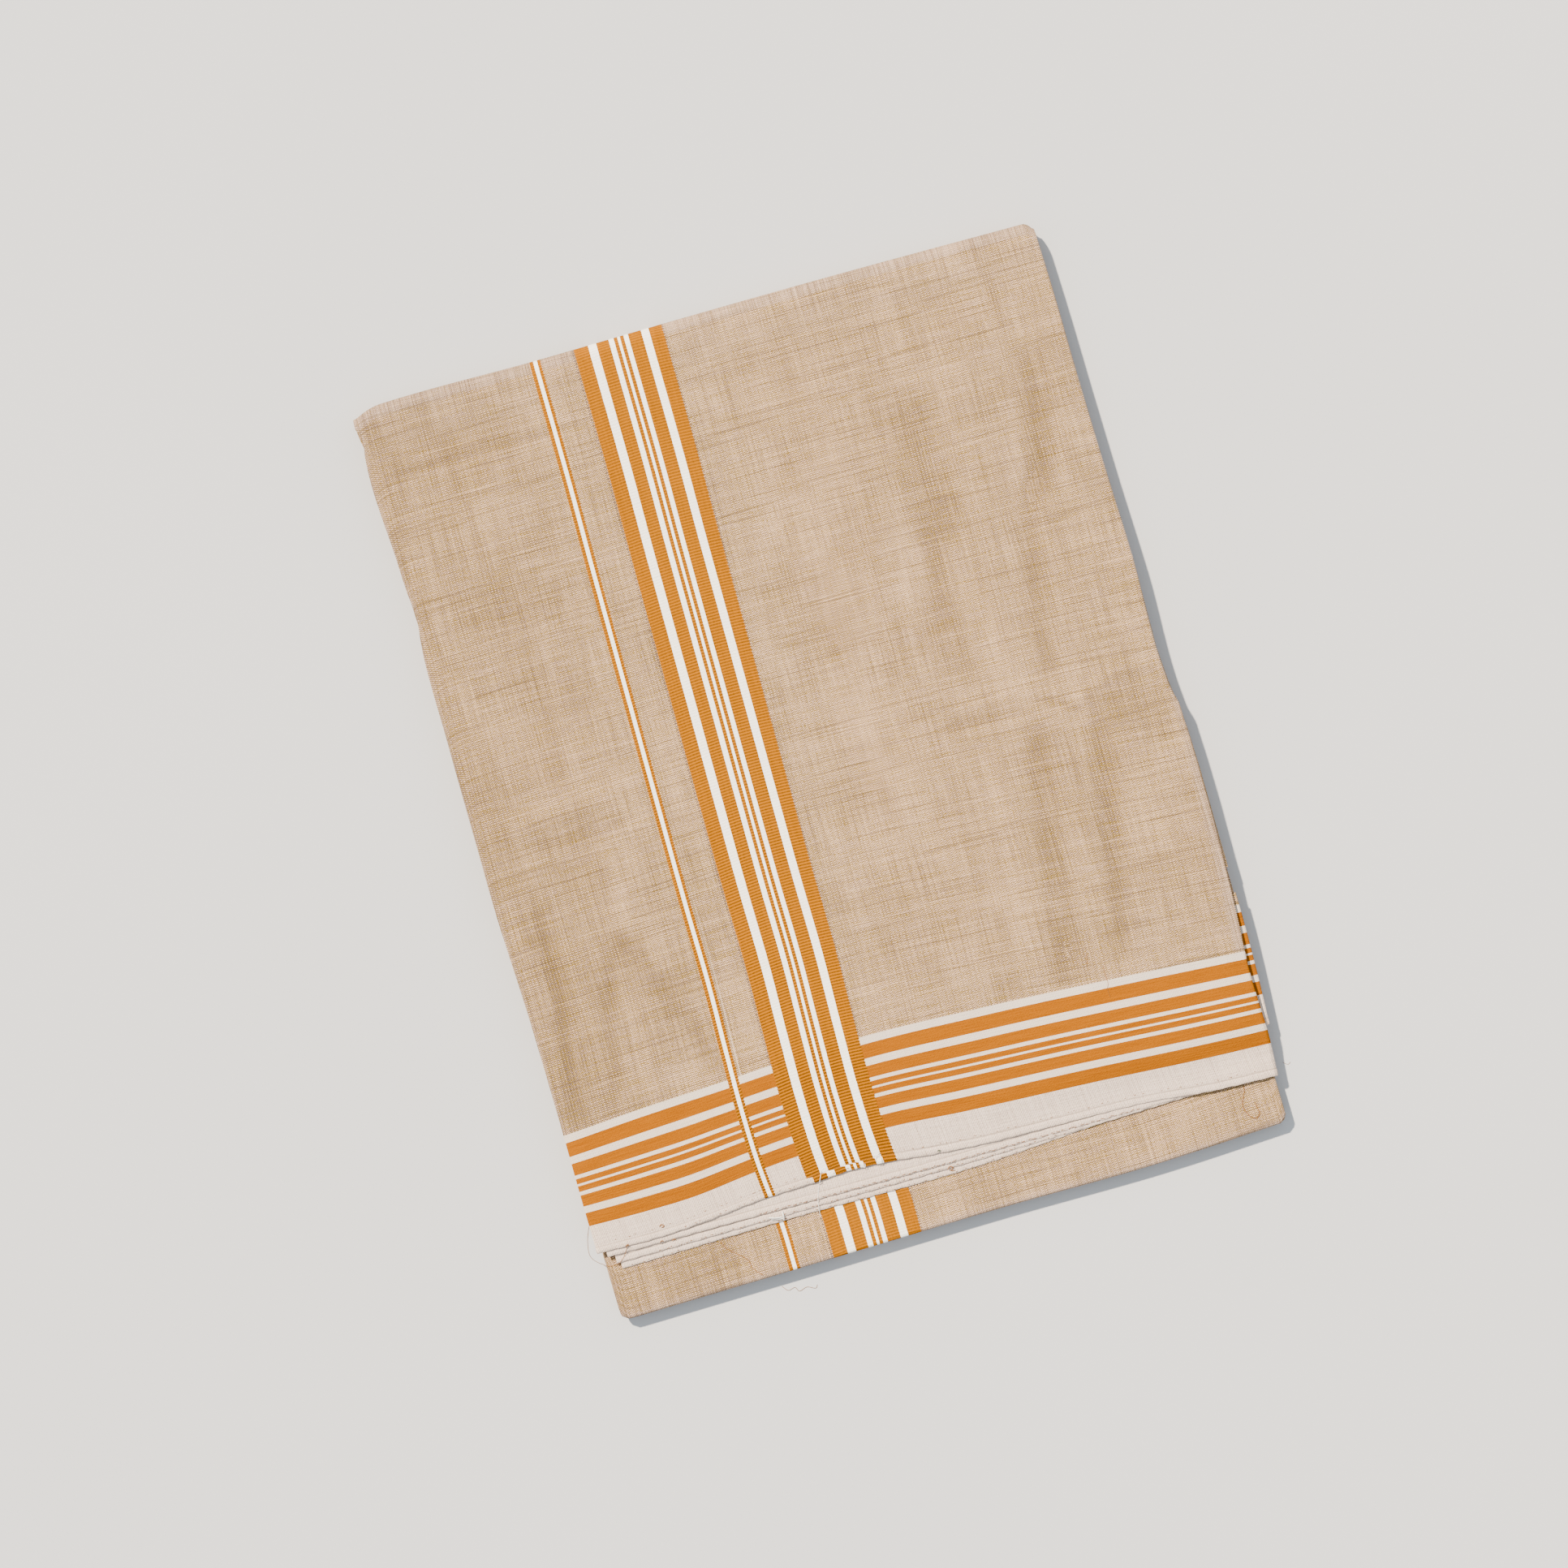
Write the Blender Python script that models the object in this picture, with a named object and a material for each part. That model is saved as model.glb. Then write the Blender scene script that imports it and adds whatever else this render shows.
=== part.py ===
"""Folded dhoti: one woven length, folded flat into a bundle of thirty-two layers.

The loom width is folded in four and the length in eight. The bundle lies flat on the
ground, right side up. +Y points to the head, the last fold, which wraps the whole
bundle. -Y points to the foot, where the two hemmed ends lie over a closed fold. X runs
across the folded width and Z up. The origin is at the middle of the underside.

Each stretch of cloth that shows is a wall through rings: across its width a ring holds
the upper face, a rounded rim, the lower face and the other rim. The layers that nothing
shows share one solid whose sides are ribbed, one rib for each folded stretch.
"""

import math
from typing import NamedTuple

import bmesh
import bpy
import numpy as np

MM = 0.001

# The cloth as woven, in millimetres like every size below until the last step.
LOOM_WIDTH = 1276.0
WIDTH_FOLDS = 4
PANEL_WIDTH = LOOM_WIDTH / WIDTH_FOLDS
HEAD_PLACE = 213.6
FOOT_PLACE = -213.0

# Walls. A hem is three thicknesses of cloth, which is what a wall of one layer has.
WALL = 1.0
SEAM = 0.3
STEP = WALL + SEAM
HEM_WIDTH = 3.4
STITCH_DEPTH = 0.2
STITCH_HALF_WIDTH = 0.5

# Heights at the foot, from the ground up: the outer fold, the closed fold on it, the
# second end and the four layers of the first end.
OUTER_FOLD_HEIGHT = 5.2
CLOSED_FOLD_THICKNESS = 2.7
CLOSED_FOLD_TOP = OUTER_FOLD_HEIGHT + SEAM + CLOSED_FOLD_THICKNESS
SECOND_END_TOP = CLOSED_FOLD_TOP + STEP
FACE_TOP_AT_HEM = SECOND_END_TOP + 4 * STEP

# Where each stretch that shows at the foot ends inside the bundle.
OUTER_FOLD_INNER_PLACE = -182.0
CLOSED_FOLD_INNER_PLACE = -142.0
ENDS_INNER_PLACE = -104.0

# The underside lies in by this much from the face, so that the stack narrows downwards.
OUTER_FOLD_INSET = 1.6
UNDER_INSET = 1.5

# The shared solid of the layers that nothing shows.
CORE_INSET = 1.0
CORE_FOLD_GAP = 0.6
CORE_CORNER_RADIUS = 6.0
RIB_DEPTH = 0.9
RIB_BAND = 2.2
SPARE_INSET = 4.0
SPARE_SPACING = 1.5
CORE_COLUMNS = (0.0, 0.25, 0.5, 0.75, 1.0)


class Edge(NamedTuple):
    """A row of a table of side edges: the place along the length, and both edges."""

    place: float
    left: float
    right: float


class Line(NamedTuple):
    """A row of a table of a line that runs across the width."""

    across: float
    place: float


class Level(NamedTuple):
    """A row of a table of heights along the length."""

    place: float
    top: float


class Swell(NamedTuple):
    """A soft rise of the face over the layers below, oval and turned."""

    across: float
    place: float
    half_width: float
    half_length: float
    height: float
    turn: float


class EndLayer(NamedTuple):
    """One of the layers that lie fanned under the face at the first end."""

    name: str
    depth: int
    left_corner: float
    hem: tuple


class Rib(NamedTuple):
    """One folded stretch of the shared solid: how far each end of each side stands in."""

    left_foot: float
    left_head: float
    right_foot: float
    right_head: float


FACE_EDGES = (
    Edge(-190.0, -159.6, 157.3),
    Edge(-165.0, -159.8, 158.9),
    Edge(-120.0, -159.6, 160.9),
    Edge(-70.0, -160.0, 161.7),
    Edge(-14.0, -161.5, 161.2),
    Edge(2.0, -161.3, 158.6),
    Edge(60.0, -161.1, 159.2),
    Edge(105.0, -160.4, 158.2),
    Edge(118.0, -158.9, 157.9),
    Edge(145.0, -160.4, 157.9),
    Edge(190.0, -161.2, 157.8),
    Edge(208.0, -161.6, 157.4),
)

HEAD_LINE = (
    Line(-162.0, 213.4),
    Line(-139.0, 214.2),
    Line(-75.0, 213.4),
    Line(-28.0, 213.7),
    Line(60.0, 213.5),
    Line(153.0, 212.2),
)

FOOT_LINE = (
    Line(-158.0, -214.2),
    Line(-106.0, -213.5),
    Line(-60.0, -213.0),
    Line(25.0, -212.1),
    Line(93.0, -212.4),
    Line(157.0, -210.0),
)

CLOSED_FOLD_EDGES = (
    Edge(-214.0, -156.9, 155.6),
    Edge(-199.0, -156.9, 155.6),
    Edge(-142.0, -157.6, 156.6),
)

FACE_HEM = (
    Line(-160.0, -181.5),
    Line(-126.0, -181.9),
    Line(-80.0, -178.4),
    Line(-42.0, -176.8),
    Line(-4.0, -179.9),
    Line(37.0, -182.2),
    Line(90.0, -183.9),
    Line(126.0, -187.2),
    Line(158.0, -188.8),
)

END_LAYERS = (
    EndLayer(
        "end_layer_2",
        1,
        -155.6,
        (Line(-156.0, -184.3), Line(-90.0, -185.0), Line(0.0, -186.1), Line(157.0, -186.6)),
    ),
    EndLayer(
        "end_layer_3",
        2,
        -152.4,
        (Line(-153.0, -188.3), Line(-60.0, -188.4), Line(40.0, -188.2), Line(157.0, -186.0)),
    ),
    EndLayer(
        "end_layer_4",
        3,
        -150.6,
        (
            Line(-151.0, -191.3),
            Line(-72.0, -190.5),
            Line(18.0, -190.9),
            Line(83.0, -187.4),
            Line(157.0, -186.8),
        ),
    ),
)

SECOND_HEM = (Line(-157.0, -160.5), Line(0.0, -162.0), Line(162.0, -165.6))

SECOND_END_EDGES = (
    Edge(-166.0, -157.4, 160.6),
    Edge(-140.0, -158.0, 161.6),
    Edge(-104.0, -158.6, 161.2),
)

FACE_LEVELS = (
    Level(-190.0, FACE_TOP_AT_HEM),
    Level(-125.0, FACE_TOP_AT_HEM),
    Level(-60.0, FACE_TOP_AT_HEM - 0.4),
    Level(60.0, FACE_TOP_AT_HEM - 1.0),
    Level(150.0, FACE_TOP_AT_HEM - 1.7),
    Level(205.0, FACE_TOP_AT_HEM - 2.3),
)
HEAD_HEIGHT = FACE_LEVELS[-1].top

FACE_SWELLS = (
    Swell(30.0, 60.0, 22.0, 70.0, 0.9, 6.0),
    Swell(96.0, 20.0, 15.0, 62.0, 1.0, -8.0),
    Swell(128.0, -60.0, 14.0, 60.0, 1.1, 4.0),
    Swell(62.0, -62.0, 18.0, 48.0, 0.8, 10.0),
    Swell(118.0, 118.0, 18.0, 50.0, 0.7, -12.0),
    Swell(-122.0, -20.0, 16.0, 66.0, 0.7, 3.0),
    Swell(-118.0, 140.0, 20.0, 38.0, 0.5, -5.0),
)

# The folded stretches of the shared solid, from the ground up.
RIBS = (
    Rib(left_foot=1.3, left_head=0.4, right_foot=0.2, right_head=1.0),
    Rib(left_foot=0.3, left_head=0.9, right_foot=1.3, right_head=0.5),
    Rib(left_foot=1.5, left_head=0.1, right_foot=0.0, right_head=1.2),
    Rib(left_foot=0.6, left_head=1.2, right_foot=0.9, right_head=0.1),
    Rib(left_foot=0.0, left_head=0.6, right_foot=1.4, right_head=0.8),
    Rib(left_foot=1.2, left_head=0.3, right_foot=0.3, right_head=1.1),
    Rib(left_foot=0.2, left_head=1.0, right_foot=0.7, right_head=0.2),
    Rib(left_foot=0.8, left_head=0.0, right_foot=0.1, right_head=0.7),
)

# A rib starts in a groove, and is given by share of its height and depth from its front.
RIB_PROFILE = ((0.0, RIB_DEPTH), (0.3, 0.0), (0.7, 0.0))

CORNER_RADIUS = 4.2
CORNER_COLUMNS = (0.0, 0.6, 1.8, 4.2)

# A rim is given by how far it stands out and up, in half thicknesses of its wall.
ROUND_RIM = ((0.72, 0.7), (1.0, 0.0), (0.72, -0.7))
FOLDED_RIM = ((0.42, 0.85), (0.6, 0.5), (0.42, 0.15), (0.42, -0.15), (0.6, -0.5), (0.42, -0.85))
ROUND_END_ANGLES = (20.0, 55.0, 90.0)
HEAD_FOLD_ANGLES = (90.0, 72.0, 54.0, 36.0, 20.0, 4.0)
FOOT_FOLD_ANGLES = (-90.0, -120.0, -150.0, -180.0, -210.0, -240.0, -270.0)
CORE_FOLD_ANGLES = (15.0, 32.0, 50.0, 70.0, 90.0)

UP = np.array((0.0, 0.0, 1.0))

CLOTH_COLOUR = (0.63, 0.48, 0.36, 1.0)
END_BAND_COLOUR = (0.70, 0.64, 0.58, 1.0)
SHADED_CLOTH_COLOUR = (0.50, 0.38, 0.28, 1.0)


def smooth_value(places, values, place):
    """The value at a place on a curve through a table, with no overshoot at its rows."""
    places = np.asarray(places, float)
    values = np.asarray(values, float)
    place = float(np.clip(place, places[0], places[-1]))
    row = int(np.clip(np.searchsorted(places, place) - 1, 0, len(places) - 2))
    share = (place - places[row]) / (places[row + 1] - places[row])
    eased = share * share * (3.0 - 2.0 * share)
    return float(values[row] + (values[row + 1] - values[row]) * eased)


def left_edge(edges, place):
    return smooth_value([row.place for row in edges], [row.left for row in edges], place)


def right_edge(edges, place):
    return smooth_value([row.place for row in edges], [row.right for row in edges], place)


def place_on(line, across):
    """The place along the length of a line at this place across the width."""
    return float(np.interp(across, [row.across for row in line], [row.place for row in line]))


def swell_at(across, place):
    """How far the face rises over the layers below it."""
    rise = 0.0
    for swell in FACE_SWELLS:
        turn = math.radians(swell.turn)
        side = across - swell.across
        along = place - swell.place
        first = (side * math.cos(turn) + along * math.sin(turn)) / swell.half_width
        second = (along * math.cos(turn) - side * math.sin(turn)) / swell.half_length
        rise += swell.height * math.exp(-(first * first + second * second))
    return rise


def face_top(place):
    return smooth_value([row.place for row in FACE_LEVELS], [row.top for row in FACE_LEVELS], place)


def column_shares(width, middle_columns):
    """Shares of the width where a ring has a column, close together at both corners."""
    corner = [place / width for place in CORNER_COLUMNS]
    middle = np.linspace(corner[-1], 1.0 - corner[-1], middle_columns + 2)[1:-1]
    return corner + list(middle) + [1.0 - share for share in reversed(corner)]


def corner_drawback(across, left, right, radius):
    """How far an end line draws back near a side edge, for a rounded corner."""
    from_side = max(min(across - left, right - across), 0.0)
    if from_side >= radius:
        return 0.0
    return radius - math.sqrt(radius * radius - (radius - from_side) ** 2)


def ring(middles, normals, half_thickness, rim):
    """One closed ring of a wall: upper face, right rim, lower face, left rim."""
    upper = [m + n * half_thickness for m, n in zip(middles, normals, strict=True)]
    lower = [m - n * half_thickness for m, n in zip(middles, normals, strict=True)]
    outward = np.array((half_thickness, 0.0, 0.0))
    right = [middles[-1] + outward * out + normals[-1] * half_thickness * up for out, up in rim]
    left = [middles[0] - outward * out - normals[0] * half_thickness * up for out, up in rim]
    return upper + right + lower[::-1] + left


def strip_cap(mesh, corners, columns, rim_points, facing_on):
    """Closes an end ring with a strip from its upper face to its lower face."""
    size = len(corners)
    upper = list(range(columns))
    lower = [columns + rim_points + columns - 1 - index for index in upper]
    quads = [
        (upper[i], upper[i + 1], lower[i + 1], lower[i]) for i in range(columns - 1)
    ]
    right = tuple(range(columns - 1, columns + rim_points + 1))
    left = tuple(range(2 * columns + rim_points - 1, size)) + (0,)
    for face in [*quads, right, left]:
        found = [corners[index] for index in face]
        mesh.faces.new(found if facing_on else found[::-1])


def add_object(name, mesh, colour, collection):
    """Turns a bmesh in millimetres into a named object with its own cloth material."""
    bmesh.ops.recalc_face_normals(mesh, faces=mesh.faces)
    if mesh.calc_volume(signed=True) < 0.0:
        bmesh.ops.reverse_faces(mesh, faces=mesh.faces)
    bmesh.ops.scale(mesh, vec=(MM, MM, MM), verts=mesh.verts)
    data = bpy.data.meshes.new(name)
    mesh.to_mesh(data)
    mesh.free()
    data.shade_smooth()
    data.set_sharp_from_angle(angle=math.radians(50.0))
    material = bpy.data.materials.new(name + "_cotton")
    material.use_nodes = True
    shader = material.node_tree.nodes["Principled BSDF"]
    shader.inputs["Base Color"].default_value = colour
    shader.inputs["Roughness"].default_value = 0.85
    shader.inputs["Metallic"].default_value = 0.0
    data.materials.append(material)
    found = bpy.data.objects.new(name, data)
    collection.objects.link(found)
    return found


def loft_wall(rings, columns, rim_points):
    """A closed wall through rings of equal count, with a strip over each end."""
    mesh = bmesh.new()
    rows = [[mesh.verts.new(point) for point in points] for points in rings]
    size = len(rows[0])
    for here, there in zip(rows, rows[1:]):
        for index in range(size):
            after = (index + 1) % size
            mesh.faces.new((here[index], here[after], there[after], there[index]))
    strip_cap(mesh, rows[0], columns, rim_points, False)
    strip_cap(mesh, rows[-1], columns, rim_points, True)
    return mesh


def along_fold(angle):
    """The direction out of a fold in the YZ plane at this angle above +Y."""
    turn = math.radians(angle)
    return np.array((0.0, math.cos(turn), math.sin(turn)))


def fold_centre(line, across, left, right, side, radius, corner=CORNER_RADIUS):
    """The place of a fold's centre: in from its end line by its radius and its corner."""
    drawback = corner_drawback(across, left, right, corner)
    return place_on(line, across) - side * (radius + drawback)


def fold_ring(shares, edges_out, line, side, radius, angle, inset):
    """A ring of a wall where it turns round a fold, at this angle above +Y."""
    left, right = edges_out
    outward = along_fold(angle)
    middles = []
    for share in shares:
        across = left + share * (right - left)
        place = fold_centre(line, across, left, right, side, radius) - side * inset
        centre = np.array((across, place, radius))
        middles.append(centre + outward * (radius - WALL / 2.0))
    return ring(middles, [outward] * len(shares), WALL / 2.0, ROUND_RIM)


def face_rings():
    """Rings of the face from its hem to halfway down the head fold."""
    shares = column_shares(PANEL_WIDTH, 15)
    radius = HEAD_HEIGHT / 2.0
    half = WALL / 2.0

    def flat_ring(distance, share_along, half_thickness):
        rough = FACE_HEM[0].place + share_along * (HEAD_PLACE - FACE_HEM[0].place)
        left = left_edge(FACE_EDGES, rough) + half
        right = right_edge(FACE_EDGES, rough) - half
        middles = []
        for share in shares:
            across = left + share * (right - left)
            start = place_on(FACE_HEM, across) + half + distance
            stop = fold_centre(HEAD_LINE, across, left, right, 1.0, radius)
            place = start + share_along * (stop - start)
            rise = swell_at(across, place)
            middles.append(np.array((across, place, face_top(place) - half + rise)))
        return ring(middles, [UP] * len(shares), half_thickness, ROUND_RIM)

    rings = hem_rings(flat_ring, half)
    rings += [flat_ring(HEM_WIDTH, share, half) for share in np.linspace(0.0, 1.0, 17)[1:-1]]
    edges_out = (left_edge(FACE_EDGES, HEAD_PLACE) + half, right_edge(FACE_EDGES, HEAD_PLACE) - half)
    rings += [
        fold_ring(shares, edges_out, HEAD_LINE, 1.0, radius, angle, 0.0)
        for angle in HEAD_FOLD_ANGLES
    ]
    return rings, len(shares), len(ROUND_RIM)


def rounded_end(flat_ring, half):
    """Rings that close the foot end of a wall as a half round."""
    turns = [math.radians(angle) for angle in ROUND_END_ANGLES]
    return [flat_ring(-half * math.cos(turn), 0.0, half * math.sin(turn)) for turn in turns]


def hem_rings(flat_ring, half):
    """Rings of a hem: a rounded end, and a shallow groove where it is sewn."""
    groove = (
        (HEM_WIDTH - STITCH_HALF_WIDTH, 0.0),
        (HEM_WIDTH, STITCH_DEPTH / 2.0),
        (HEM_WIDTH + STITCH_HALF_WIDTH, 0.0),
    )
    sewn = [flat_ring(distance, 0.0, half - depth) for distance, depth in groove]
    return rounded_end(flat_ring, half) + sewn


def under_edges(place):
    """Both edges of the middle of the underside's wall, inside its rims."""
    stand_in = WALL / 2.0 + UNDER_INSET
    return left_edge(FACE_EDGES, place) + stand_in, right_edge(FACE_EDGES, place) - stand_in


def under_rings():
    """Rings of the underside from the head fold, along the ground and round the foot."""
    shares = column_shares(PANEL_WIDTH, 6)
    half = WALL / 2.0

    def level_ring(place, height, normal):
        left, right = under_edges(place)
        middles = [np.array((left + share * (right - left), place, height)) for share in shares]
        return ring(middles, [normal] * len(shares), half, ROUND_RIM)

    head = (shares, under_edges(HEAD_PLACE), HEAD_LINE, 1.0, HEAD_HEIGHT / 2.0)
    foot = (shares, under_edges(FOOT_PLACE), FOOT_LINE, -1.0, OUTER_FOLD_HEIGHT / 2.0)
    leg_places = (FOOT_PLACE + 17.0, OUTER_FOLD_INNER_PLACE)
    rings = [fold_ring(*head, -angle, 0.0) for angle in HEAD_FOLD_ANGLES[::-1]]
    rings += [level_ring(place, half, -UP) for place in np.linspace(190.0, -190.0, 9)]
    rings += [fold_ring(*foot, angle, OUTER_FOLD_INSET) for angle in FOOT_FOLD_ANGLES]
    rings += [level_ring(place, OUTER_FOLD_HEIGHT - half, UP) for place in leg_places]
    return rings, len(shares), len(ROUND_RIM)


def tongue_rings(edges, end_line, top, thickness, inner_place, hemmed):
    """Rings of a flat stretch from its foot end, hemmed or folded, to its inner end."""
    shares = column_shares(PANEL_WIDTH, 8)
    half = thickness / 2.0
    rim = ROUND_RIM if hemmed else FOLDED_RIM

    def flat_ring(distance, share_along, half_thickness):
        rough = end_line[0].place + share_along * (inner_place - end_line[0].place)
        left = left_edge(edges, rough) + half
        right = right_edge(edges, rough) - half
        middles = []
        for share in shares:
            across = left + share * (right - left)
            start = place_on(end_line, across) + half + distance
            if not hemmed:
                start += corner_drawback(across, left, right, CORNER_RADIUS)
            place = start + share_along * (inner_place - start)
            middles.append(np.array((across, place, top - half)))
        return ring(middles, [UP] * len(shares), half_thickness, rim)

    rings = hem_rings(flat_ring, half) if hemmed else rounded_end(flat_ring, half)
    rings += [flat_ring(HEM_WIDTH, share_along, half) for share_along in (0.35, 0.7, 1.0)]
    return rings, len(shares), len(rim)


def rib_side(place, top, left_side):
    """Points up one ribbed side of the shared solid, as across and height.

    Where the solid is low, the points of the ribs above it lie along its top instead.
    """
    edge = left_edge(FACE_EDGES, place) if left_side else right_edge(FACE_EDGES, place)
    inward = 1.0 if left_side else -1.0
    pitch = (face_top(place) - 2.0 * STEP) / len(RIBS)
    headward = float(np.clip((place - FOOT_PLACE) / (HEAD_PLACE - FOOT_PLACE), 0.0, 1.0))
    points = []
    spare = 0
    for number, rib in enumerate(RIBS):
        ends = (rib.left_foot, rib.left_head) if left_side else (rib.right_foot, rib.right_head)
        shift = ends[0] + (ends[1] - ends[0]) * headward
        for share, depth in RIB_PROFILE:
            height = STEP + (number + share) * pitch
            stand_in = CORE_INSET + shift + depth
            if height > top - SEAM:
                spare += 1
                height = top
                stand_in = SPARE_INSET + spare * SPARE_SPACING
            points.append((edge + inward * stand_in, height))
    return points


def hidden_outline(place, top):
    """One outline of the shared solid: its bottom, right side, top and left side."""
    left = rib_side(place, top, True)
    right = rib_side(place, top, False)
    inner_left = left[-1][0] + SPARE_SPACING
    inner_right = right[-1][0] - SPARE_SPACING
    columns = [inner_left + share * (inner_right - inner_left) for share in CORE_COLUMNS]
    bottom = [(across, STEP) for across in columns]
    upper = [(across, top) for across in reversed(columns)]
    return bottom + right + upper + left[::-1]


def hidden_fold(place, top, line, side, radius, angle, inset):
    """A ring of the shared solid where a fold wraps it, drawn together by the angle."""
    left, right = under_edges(place)
    turn = math.radians(angle)
    middle = (top + STEP) / 2.0
    reach = radius - WALL - CORE_FOLD_GAP
    points = []
    for across, height in hidden_outline(place, top):
        beside = across
        if across < left + RIB_BAND:
            beside = left
        if across > right - RIB_BAND:
            beside = right
        centre = fold_centre(line, beside, left, right, side, radius, CORE_CORNER_RADIUS)
        along = centre + side * (reach * math.cos(turn) - inset)
        points.append(np.array((across, along, middle + (height - middle) * math.sin(turn))))
    return points


def hidden_rings():
    """Rings of the shared solid from the foot to the head, with a step at each stretch."""
    steps = (
        (OUTER_FOLD_INNER_PLACE, OUTER_FOLD_HEIGHT - STEP, OUTER_FOLD_HEIGHT),
        (CLOSED_FOLD_INNER_PLACE, OUTER_FOLD_HEIGHT, CLOSED_FOLD_TOP),
        (ENDS_INNER_PLACE, CLOSED_FOLD_TOP, None),
    )
    low, high = OUTER_FOLD_HEIGHT - STEP, HEAD_HEIGHT - STEP
    foot = (FOOT_PLACE, low, FOOT_LINE, -1.0, OUTER_FOLD_HEIGHT / 2.0)
    head = (HEAD_PLACE, high, HEAD_LINE, 1.0, HEAD_HEIGHT / 2.0)
    levels = []
    for place, before, after in steps:
        levels.append((place + SEAM, before))
        levels.append((place + 2.0 * SEAM, after))
    levels += [(place, None) for place in np.linspace(-84.0, 190.0, 12)]

    rings = [hidden_fold(*foot, angle, OUTER_FOLD_INSET) for angle in CORE_FOLD_ANGLES]
    for place, top in levels:
        outline = hidden_outline(place, face_top(place) - STEP if top is None else top)
        rings.append([np.array((across, place, height)) for across, height in outline])
    rings += [hidden_fold(*head, angle, 0.0) for angle in CORE_FOLD_ANGLES[::-1]]
    return rings, len(CORE_COLUMNS), len(RIB_PROFILE) * len(RIBS)


def stretches():
    """The name, colour and rings of each stretch, from the ground up."""
    closed_fold = (CLOSED_FOLD_EDGES, FOOT_LINE, CLOSED_FOLD_TOP, CLOSED_FOLD_THICKNESS)
    second_end = (SECOND_END_EDGES, SECOND_HEM, SECOND_END_TOP, WALL)
    found = [
        ("under_stretch", CLOTH_COLOUR, under_rings()),
        ("hidden_layers", SHADED_CLOTH_COLOUR, hidden_rings()),
        ("closed_fold", CLOTH_COLOUR, tongue_rings(*closed_fold, CLOSED_FOLD_INNER_PLACE, False)),
        ("second_end", END_BAND_COLOUR, tongue_rings(*second_end, ENDS_INNER_PLACE, True)),
    ]
    for layer in reversed(END_LAYERS):
        edges = (
            Edge(-191.0, layer.left_corner, 156.0),
            Edge(-186.0, layer.left_corner, 156.4),
            Edge(ENDS_INNER_PLACE, -158.8, 158.8),
        )
        top = FACE_TOP_AT_HEM - layer.depth * STEP
        rings = tongue_rings(edges, layer.hem, top, WALL, ENDS_INNER_PLACE, True)
        found.append((layer.name, END_BAND_COLOUR, rings))
    found.append(("face_stretch", CLOTH_COLOUR, face_rings()))
    return found


def main():
    for found in list(bpy.data.objects):
        bpy.data.objects.remove(found, do_unlink=True)
    collection = bpy.data.collections.new("folded_dhoti")
    bpy.context.scene.collection.children.link(collection)
    for name, colour, (rings, columns, rim_points) in stretches():
        mesh = loft_wall(rings, columns, rim_points)
        add_object(name, mesh, colour, collection)


if __name__ == "__main__":
    main()
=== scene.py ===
"""Folded dhoti: the visual model of one woven cotton length, folded flat into a bundle.

The cloth is folded in four across its loom width and in eight along its length. It is
built here as that one sheet: every stretch is a window of the same folded path, so its
thread lines and stripes run on round each fold. Sizes are in millimetres until a mesh
is made. +Y points to the head fold, -Y to the hemmed ends, X runs across the folded
width, and Z up through the layers. Ply 1 is the top and ply 8 lies on the ground.
"""

import logging
import math
from collections.abc import Iterator
from dataclasses import dataclass, field, replace
from enum import Enum
from typing import ClassVar, NamedTuple

import bpy
import numpy as np
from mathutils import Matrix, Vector
from mathutils.bvhtree import BVHTree

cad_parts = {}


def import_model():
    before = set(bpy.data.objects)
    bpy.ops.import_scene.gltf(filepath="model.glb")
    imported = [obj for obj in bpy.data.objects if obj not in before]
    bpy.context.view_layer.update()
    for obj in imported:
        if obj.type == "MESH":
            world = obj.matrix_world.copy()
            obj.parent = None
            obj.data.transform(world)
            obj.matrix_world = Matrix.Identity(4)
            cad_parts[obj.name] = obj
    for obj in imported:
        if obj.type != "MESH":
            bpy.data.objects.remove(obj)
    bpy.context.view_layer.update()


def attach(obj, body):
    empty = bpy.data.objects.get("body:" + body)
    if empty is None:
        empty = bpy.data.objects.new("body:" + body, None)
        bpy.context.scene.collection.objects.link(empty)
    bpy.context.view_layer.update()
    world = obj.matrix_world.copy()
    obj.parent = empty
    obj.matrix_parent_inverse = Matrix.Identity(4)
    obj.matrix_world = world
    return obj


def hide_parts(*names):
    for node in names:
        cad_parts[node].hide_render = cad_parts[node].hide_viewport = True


LOG = logging.getLogger("folded_dhoti")

MM = 0.001
ROOT = "root"
FLOOR = "studio_floor"

Array = np.ndarray
Span = tuple[float, float]
Rows = tuple[Span, ...]
Tree = bpy.types.NodeTree
Socket = bpy.types.NodeSocket


# ---------------------------------------------------------------- curves and relief


@dataclass(frozen=True)
class Curve:
    """A smooth curve through a short table of places and values."""

    rows: Rows

    def at(self, place: Array | float) -> Array:
        """Reads the curve.

        Args:
            place: Where to read it. Beyond the table it keeps its end value.

        Returns:
            The value at each place.
        """
        places, values = np.array(self.rows, float).T
        place = np.clip(np.asarray(place, float), places[0], places[-1])
        row = np.clip(np.searchsorted(places, place, side="right") - 1, 0, len(places) - 2)
        slopes = np.gradient(values, places) if len(places) > 2 else np.zeros(2)
        width = places[row + 1] - places[row]
        share = (place - places[row]) / width
        rise = values[row + 1] - values[row]
        first = slopes[row] * width - rise
        last = rise - slopes[row + 1] * width
        bend = share * (1.0 - share) * ((1.0 - share) * first + share * last)
        return values[row] + rise * share + bend


def ease(value: Array | float, start: float, stop: float) -> Array:
    """Eases from 0 where a value is at its start to 1 where it is at its stop."""
    share = np.clip((np.asarray(value, float) - start) / (stop - start), 0.0, 1.0)
    return share * share * (3.0 - 2.0 * share)


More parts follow.
